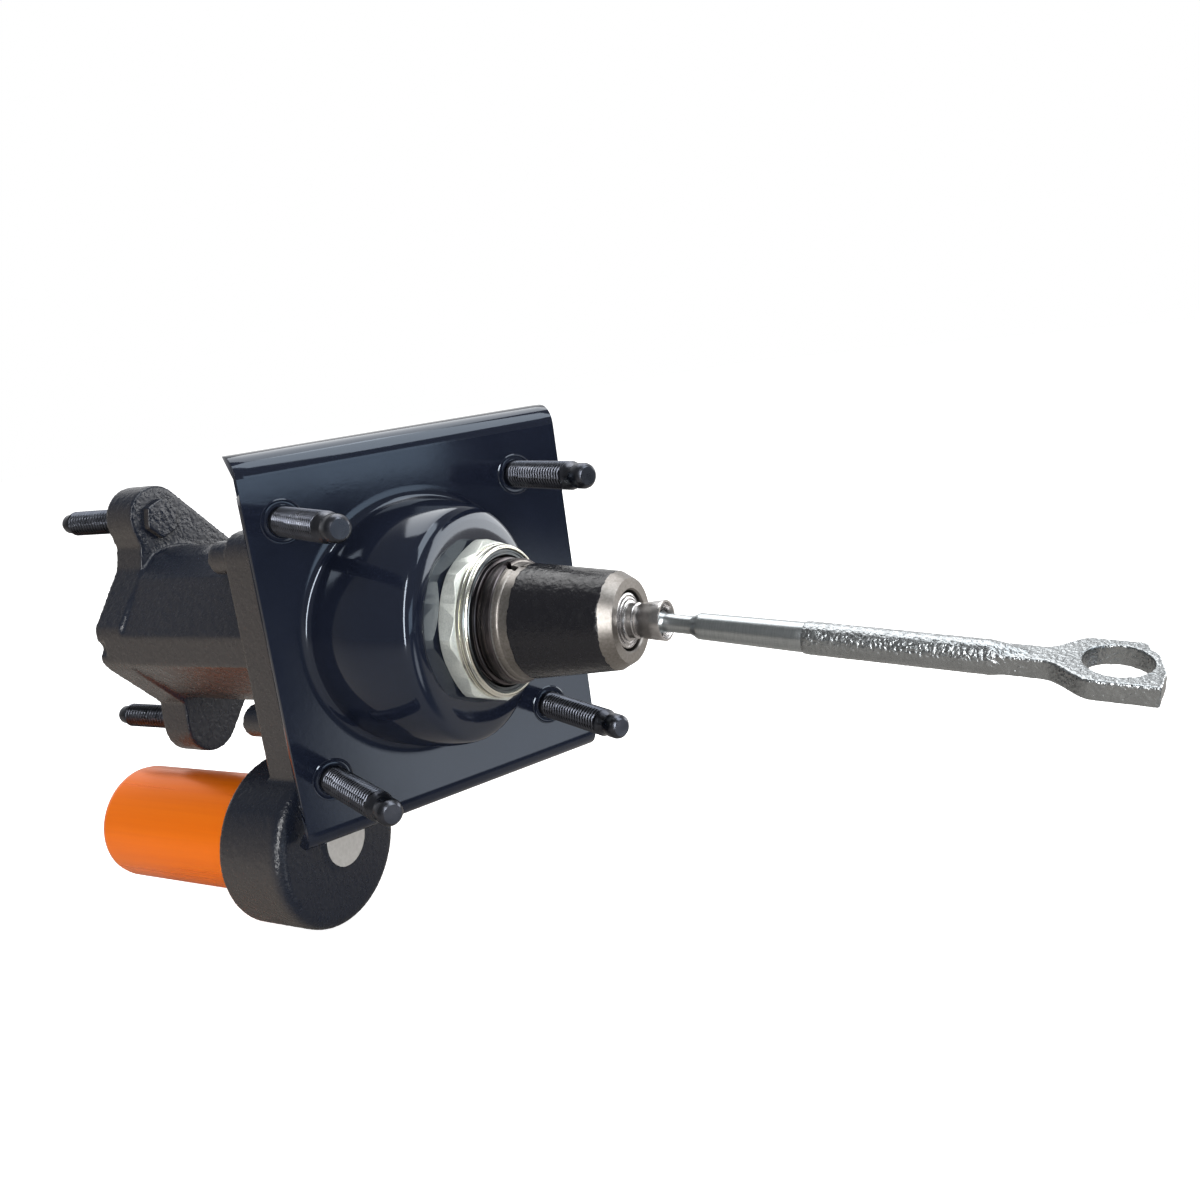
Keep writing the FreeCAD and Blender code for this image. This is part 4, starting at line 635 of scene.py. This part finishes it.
neck_band = turned("neck_band", [(0.0098, -0.0384), (0.0198, -0.0386), (0.0195, -0.0388), (0.0191, -0.0389),
                                 (0.0190, -0.0404), (0.0188, -0.0407), (0.0186, -0.0409), (0.0183, -0.0425),
                                 (0.0181, -0.0452), (0.0098, -0.0452)], sides=96, closed=True)
set_booster(neck_band)
neck_band.data.materials.append(neck_steel)
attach(neck_band, "booster_body")
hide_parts("rear_cover")

sleeve_taper, sleeve_length, sleeve_rows = 0.0030, 0.0288, 30
sleeve_outline = [(0.0110, -0.0437), (0.01815, -0.0437), (0.01845, -0.0439), (0.01850, -0.0443)]
sleeve_outline += [(0.01845 - sleeve_taper * i / sleeve_rows, -0.0446 - sleeve_length * i / sleeve_rows)
                   for i in range(sleeve_rows + 1)]
sleeve_outline += [(0.01530, -0.0736), (0.0110, -0.0737)]
neck_sleeve = turned("neck_sleeve", sleeve_outline, sides=128, closed=True)
rag = bpy.data.textures.new("paint_edge", "CLOUDS")
rag.noise_scale = 0.0022
ragged = neck_sleeve.modifiers.new("ragged", "DISPLACE")
ragged.texture = rag
ragged.direction = "Y"
ragged.strength = 0.0012
bpy.ops.object.modifier_apply(modifier="ragged")
wavy = neck_sleeve.modifiers.new("wavy", "DISPLACE")
wavy.texture = rag
wavy.strength = 0.00025
bpy.ops.object.modifier_apply(modifier="wavy")
set_booster(neck_sleeve)
neck_sleeve.data.materials.append(sleeve_black)
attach(neck_sleeve, "booster_body")
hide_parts("rear_cover")

# Key slot on top of the collar, with its small bright tab.
slot_middle = (-0.0040, -0.0394, 0.0197)
slot_size = (0.0026, 0.0044, 0.0060)
tab_middle = (-0.0002, -0.0424, 0.01825)
tab_size = (0.0034, 0.0016, 0.0007)


def block(middle, size):
    """A plain box at its size and place."""
    bpy.ops.object.select_all(action="DESELECT")
    bpy.ops.mesh.primitive_cube_add(size=1.0, location=middle, scale=size)
    bpy.ops.object.transform_apply(location=True, scale=True)
    return bpy.context.object


for ring in (neck_thread, neck_band):
    slot_cutter = block(slot_middle, slot_size)
    set_booster(slot_cutter)
    pick(ring)
    slot_cut = ring.modifiers.new("slot", "BOOLEAN")
    slot_cut.operation = "DIFFERENCE"
    slot_cut.object = slot_cutter
    bpy.ops.object.modifier_apply(modifier="slot")
    bpy.data.objects.remove(slot_cutter)
tab = block(tab_middle, tab_size)
tab.name = "neck_key_tab"
break_edges(tab, 0.00015)
set_booster(tab)
tab.data.materials.append(neck_steel)
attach(tab, "booster_body")

neck_end = turned("neck_end", [(0.0094, -0.0560), (0.0152, -0.0728), (0.0154, -0.0735), (0.0135, -0.0770),
                               (0.0132, -0.0775), (0.0100, -0.0775), (0.0095, -0.0770), (0.0094, -0.0640)],
                  sides=96, closed=True)
set_booster(neck_end)
neck_end.data.materials.append(neck_steel)
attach(neck_end, "booster_body")
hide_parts("rear_cover")

# Castings. The housing and the cover's flange are sand-cast iron under satin black paint, with
# soft edges and a pebbled skin. Faces that look left and down are painted lighter and brownish, as painted
# bounce light.
casting_black, tree, shader = new_finish("satin_black_casting", (0.014, 0.014, 0.018), 0.0, 0.28)
# Painted bounce light: the colour turns lighter and brownish as a face looks more to the left and down.
casting_bounce_facing = tree.nodes.new("ShaderNodeVectorMath")
casting_bounce_facing.operation = "DOT_PRODUCT"
bounce_lit_normal = (-0.87, 0.10, -0.48)
casting_bounce_facing.inputs[1].default_value = bounce_lit_normal
tree.links.new(tree.nodes.new("ShaderNodeNewGeometry").outputs["Normal"], casting_bounce_facing.inputs[0])
tree.links.new(blend_colours(tree, spread(tree, casting_bounce_facing.outputs["Value"], 0.0, 1.0, 0.2, 0.95),
                             (0.008, 0.0105, 0.018), (0.050, 0.043, 0.038)), shader.inputs["Base Color"])
tree.links.new(spread(tree, grain(tree, 0.004), 0.20, 0.34), shader.inputs["Roughness"])
relief(tree, shader, grain(tree, 0.0012, 2.0), 0.00020)
relief(tree, shader, grain(tree, 0.0005, 1.0), 0.00003)


def cast_skin(piece, voxel, rounding, sand_size, sand_depth):
    """Round a piece's edges and give it a pebbled skin, as sand casting does."""
    pick(piece)
    skin = piece.modifiers.new("skin", "REMESH")
    skin.mode = "VOXEL"
    skin.voxel_size = voxel
    bpy.ops.object.modifier_apply(modifier="skin")
    soft = piece.modifiers.new("soft", "SMOOTH")
    soft.factor = 0.5
    soft.iterations = rounding
    bpy.ops.object.modifier_apply(modifier="soft")
    pebble = bpy.data.textures.new(piece.name + "_pebble", "CLOUDS")
    pebble.noise_scale = sand_size
    pebble.noise_depth = 2
    sand = piece.modifiers.new("sand", "DISPLACE")
    sand.texture = pebble
    sand.strength = sand_depth
    sand.mid_level = 0.5
    bpy.ops.object.modifier_apply(modifier="sand")
    bpy.ops.object.shade_smooth()


housing = copy_of("housing", "housing_casting")
cast_skin(housing, 0.0007, 2, 0.0016, 0.0002)
housing.data.materials.clear()
housing.data.materials.append(casting_black)
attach(housing, "booster_body")
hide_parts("housing")

cover = copy_of("rear_cover", "cover_casting")
bpy.ops.object.mode_set(mode="EDIT")
bpy.ops.mesh.select_all(action="SELECT")
neck_cut = -0.0204
bpy.ops.mesh.bisect(plane_co=booster_ahead * neck_cut, plane_no=booster_ahead, use_fill=True,
                    clear_inner=True)
bpy.ops.object.mode_set(mode="OBJECT")
cast_skin(cover, 0.0009, 2, 0.0016, 0.0003)
cover.data.materials.clear()
cover.data.materials.append(casting_black)
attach(cover, "booster_body")
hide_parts("rear_cover")

# Accumulator can. A drawn aluminium can with a flat end, anodised orange, with fine lengthwise
# streaks from the tube.
orange_anodised, tree, shader = new_finish("orange_anodised", (0.92, 0.17, 0.0), 0.4, 0.3)
streaks = grain(tree, 0.0016, 2.0, (1.0, 90.0, 1.0), booster_turn)
tree.links.new(blend_colours(tree, streaks, (0.90, 0.155, 0.0), (1.0, 0.21, 0.0)),
               shader.inputs["Base Color"])
tree.links.new(spread(tree, streaks, 0.27, 0.33), shader.inputs["Roughness"])
can_x, can_z = -0.022, -0.075
can = turned("accumulator_can_shell", [
    (0.0182, 0.0472), (0.0212, 0.0472), (0.0212, 0.1335), (0.0208, 0.1355), (0.0198, 0.1366),
    (0.0177, 0.1370), (0.0071, 0.1370), (0.0070, 0.1369), (0.0070, 0.1340), (0.0162, 0.1340),
    (0.0182, 0.1320)], x=can_x, z=can_z, sides=96, closed=True)
set_booster(can)
can.data.materials.append(orange_anodised)
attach(can, "booster_body")
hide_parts("accumulator_can")

# Bare spot on the boss. The paint is faced off in a round patch where the boss was clamped.
bare_iron, tree, shader = new_finish("bare_cast_iron", (0.36, 0.345, 0.33), 0.5, 0.45)
tree.links.new(blend_colours(tree, grain(tree, 0.0015, 8.0), (0.40, 0.385, 0.365), (0.62, 0.605, 0.58)),
               shader.inputs["Base Color"])
relief(tree, shader, grain(tree, 0.0008, 4.0), 0.00005)
spot_x, spot_z = -0.0195, -0.0745
spot = turned("boss_bare_spot", [
    (0.0, 0.0366), (0.0097, 0.0366), (0.0100, 0.0368), (0.0100, 0.0385), (0.0, 0.0385)],
    x=spot_x, z=spot_z, sides=64)
set_booster(spot)
spot.data.materials.append(bare_iron)
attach(spot, "booster_body")

# Master-cylinder studs. Two black studs in the flange's ears, threaded for the cylinder's nuts.
ear_roll = math.radians(3.4)
ear_reach = 0.08255 / 2
mc_thread_start, mc_thread_end = 0.1310, 0.1626
mc_outline = [(0.0, 0.1200), (stud_radius, 0.1200), (stud_radius, 0.1300)]
mc_outline += thread_rings(mc_thread_start, mc_thread_end, stud_radius, thread_pitch)
mc_outline += [(0.0043, 0.1630), (0.0038, 0.1637), (0.0037, 0.1668), (0.0030, 0.1680), (0.0, 0.1680)]
for name, side in (("upper", 1), ("lower", -1)):
    x = -side * ear_reach * math.sin(ear_roll)
    z = side * ear_reach * math.cos(ear_roll)
    stud = turned("master_cylinder_stud_" + name, mc_outline, x, z)
    cut_thread(stud, stud_radius, thread_pitch, thread_depth, mc_thread_start, mc_thread_end, x, z)
    set_booster(stud)
    stud.data.materials.append(stud_black)
    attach(stud, "booster_body")
    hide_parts("master_cylinder_studs")

# Head of the upper master-cylinder stud. It stands low behind its ear and shares the casting's paint.
bpy.ops.object.select_all(action="DESELECT")
head_place = (-ear_reach * math.sin(ear_roll), 0.1151, ear_reach * math.cos(ear_roll))
bpy.ops.mesh.primitive_cylinder_add(vertices=6, radius=0.0076, depth=0.0034, location=head_place,
                                    rotation=(math.pi / 2, math.radians(12.0), 0.0))
head = bpy.context.object
head.name = "master_cylinder_stud_head"
bpy.ops.object.transform_apply(location=True, rotation=True)
break_edges(head, 0.0006, segments=3)
cast_skin(head, 0.0003, 2, 0.002, 0.0003)
set_booster(head)
head.data.materials.append(casting_black)
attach(head, "booster_body")
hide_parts("master_cylinder_studs")

# Input rod. A ground steel rod in the neck: a stepped face, a short neck and the flared cup that
# holds the pushrod's ball.
rod_steel, tree, shader = new_finish("ground_rod_steel", (0.50, 0.49, 0.49), 1.0, 0.26)
tree.links.new(blend_colours(tree, grain(tree, 0.0015), (0.42, 0.41, 0.41), (0.60, 0.59, 0.59)),
               shader.inputs["Base Color"])
lathe_marks(tree, shader, depth=0.000012)
socket_radius = 0.00445
socket_middle = -0.0830
rod_outline = [(0.0, 0.0422), (0.0032, 0.0422), (0.0036, 0.0416), (0.0036, 0.0240), (0.0087, 0.0180),
               (0.0087, -0.0762), (0.0085, -0.0765), (0.0080, -0.0766), (0.0079, -0.0763), (0.0074, -0.0763),
               (0.0073, -0.0769), (0.0069, -0.0770), (0.0068, -0.0767), (0.0064, -0.0767), (0.0063, -0.0773),
               (0.0058, -0.0774), (0.0055, -0.0776), (0.00535, -0.0780), (0.00535, -0.0796),
               (0.00555, -0.0797), (0.00560, -0.0800), (0.00545, -0.0802), (0.0049, -0.0804),
               (0.0049, -0.0809), (0.0052, -0.0811), (0.0054, -0.0815), (0.0060, -0.0860), (0.00605, -0.0861),
               (0.00620, -0.0885), (0.00632, -0.0891), (0.00622, -0.0894), (0.0056, -0.0894),
               (0.0053, -0.0889), (0.00445, -0.0848)]
rod_outline += [(socket_radius * math.cos(math.radians(a)),
                 socket_middle + socket_radius * math.sin(math.radians(a))) for a in range(0, 81, 10)]
rod_outline += [(0.0, socket_middle + socket_radius)]
input_rod = turned("input_rod_turned", rod_outline, sides=96)
set_booster(input_rod)
input_rod.data.materials.append(rod_steel)
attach(input_rod, "input_rod_body")
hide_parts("input_rod")

# Pedal pushrod. A forging with a turned front half, a rough round shank and a flat eye, under
# bluish zinc.
rod_droop = math.radians(5.9)
rod_turn = (rod_droop, 0.0, booster_yaw)
rod_ahead = Vector((math.sin(booster_yaw) * math.cos(rod_droop), -math.cos(booster_yaw) * math.cos(rod_droop),
                    -math.sin(rod_droop)))
ball_middle = booster_ahead * socket_middle
shoulder_at = 0.0492

turned_zinc, tree, shader = new_finish("bluish_zinc_turned", (0.50, 0.53, 0.55), 1.0, 0.28)
tree.links.new(blend_colours(tree, grain(tree, 0.0004, 2.0, (8.0, 1.0, 8.0), rod_turn), (0.30, 0.325, 0.34),
                             (0.50, 0.53, 0.54)), shader.inputs["Base Color"])
lathe_marks(tree, shader, turn=rod_turn)
shank = turned("pushrod_turned_shank", [
    (0.0, 0.0037), (0.0015, 0.00338), (0.0026, 0.00263), (0.0034, 0.00146), (0.0037, 0.0), (0.0034, -0.00146),
    (0.0028, -0.0025), (0.0024, -0.0036), (0.0036, -0.0048), (0.0030, -0.0058), (0.0028, -0.0064),
    (0.0028, -0.0146), (0.0030, -0.0152), (0.0035, -0.0163), (0.0038, -0.0168), (0.0040, -0.0174),
    (0.00402, -0.0190), (0.0042, -0.0320), (0.0044, -0.0470), (0.00438, -0.0490), (0.00425, -0.0497),
    (0.0, -0.0497),
], sides=64)
pick(shank)
shank.matrix_world = (Matrix.Translation(ball_middle) @ Matrix.Rotation(booster_yaw, 4, "Z")
                      @ Matrix.Rotation(rod_droop, 4, "X"))
bpy.ops.object.transform_apply(location=True, rotation=True)
shank.data.materials.append(turned_zinc)
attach(shank, "pushrod_body")
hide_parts("pedal_pushrod")

forged_zinc, tree, shader = new_finish("bluish_zinc_forged", (0.52, 0.55, 0.57), 1.0, 0.26)
tree.links.new(blend_colours(tree, grain(tree, 0.003), (0.27, 0.285, 0.295), (0.40, 0.42, 0.43)),
               shader.inputs["Base Color"])
tree.links.new(spread(tree, grain(tree, 0.0008, 4.0), 0.20, 0.38), shader.inputs["Roughness"])
relief(tree, shader, grain(tree, 0.0011, 2.0), 0.00034)
forging = copy_of("pedal_pushrod", "pushrod_forging")
bpy.ops.object.mode_set(mode="EDIT")
bpy.ops.mesh.select_all(action="SELECT")
bpy.ops.mesh.bisect(plane_co=ball_middle + rod_ahead * shoulder_at, plane_no=rod_ahead, use_fill=True,
                    clear_inner=True)
bpy.ops.object.mode_set(mode="OBJECT")
cast_skin(forging, 0.00034, 2, 0.0010, 0.00022)
forging.data.materials.clear()
forging.data.materials.append(forged_zinc)
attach(forging, "pushrod_body")
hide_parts("pedal_pushrod")

# Everything else keeps its plain solid and gets the finish of its stuff: rubber, bronze, brass,
# nylon, spring steel, turned steel and bare aluminium.
plain_finishes = {
    "rubber": ((0.012, 0.012, 0.012), 0.0, 0.6),
    "bronze": ((0.45, 0.28, 0.13), 1.0, 0.38),
    "brass": ((0.72, 0.52, 0.22), 1.0, 0.3),
    "plastic": ((0.75, 0.73, 0.66), 0.0, 0.5),
    "spring_steel": ((0.14, 0.14, 0.15), 0.9, 0.35),
    "steel": ((0.52, 0.52, 0.52), 1.0, 0.3),
    "plain_aluminium": ((0.74, 0.75, 0.77), 1.0, 0.32),
    "rod_zinc": ((0.6, 0.64, 0.66), 1.0, 0.28),
    "bolt_black": ((0.03, 0.03, 0.034), 0.6, 0.4),
}
plain = {}
for name, (colour, metallic, roughness) in plain_finishes.items():
    finish, tree, shader = new_finish("plain_" + name, colour, metallic, roughness)
    darker = [0.8 * c for c in colour]
    tree.links.new(blend_colours(tree, grain(tree, 0.002, 5.0), darker, colour), shader.inputs["Base Color"])
    tree.links.new(spread(tree, grain(tree, 0.001), roughness * 0.85, roughness * 1.2),
                   shader.inputs["Roughness"])
    relief(tree, shader, grain(tree, 0.0007), 0.00002)
    plain[name] = finish
slots = {part["node"]: part["material_slot"] for part in frame["record"]["subparts"]}
for name, node in frame["nodes"].items():
    if not node.hide_render:
        node.data.materials.clear()
        node.data.materials.append(plain[slots[name]])
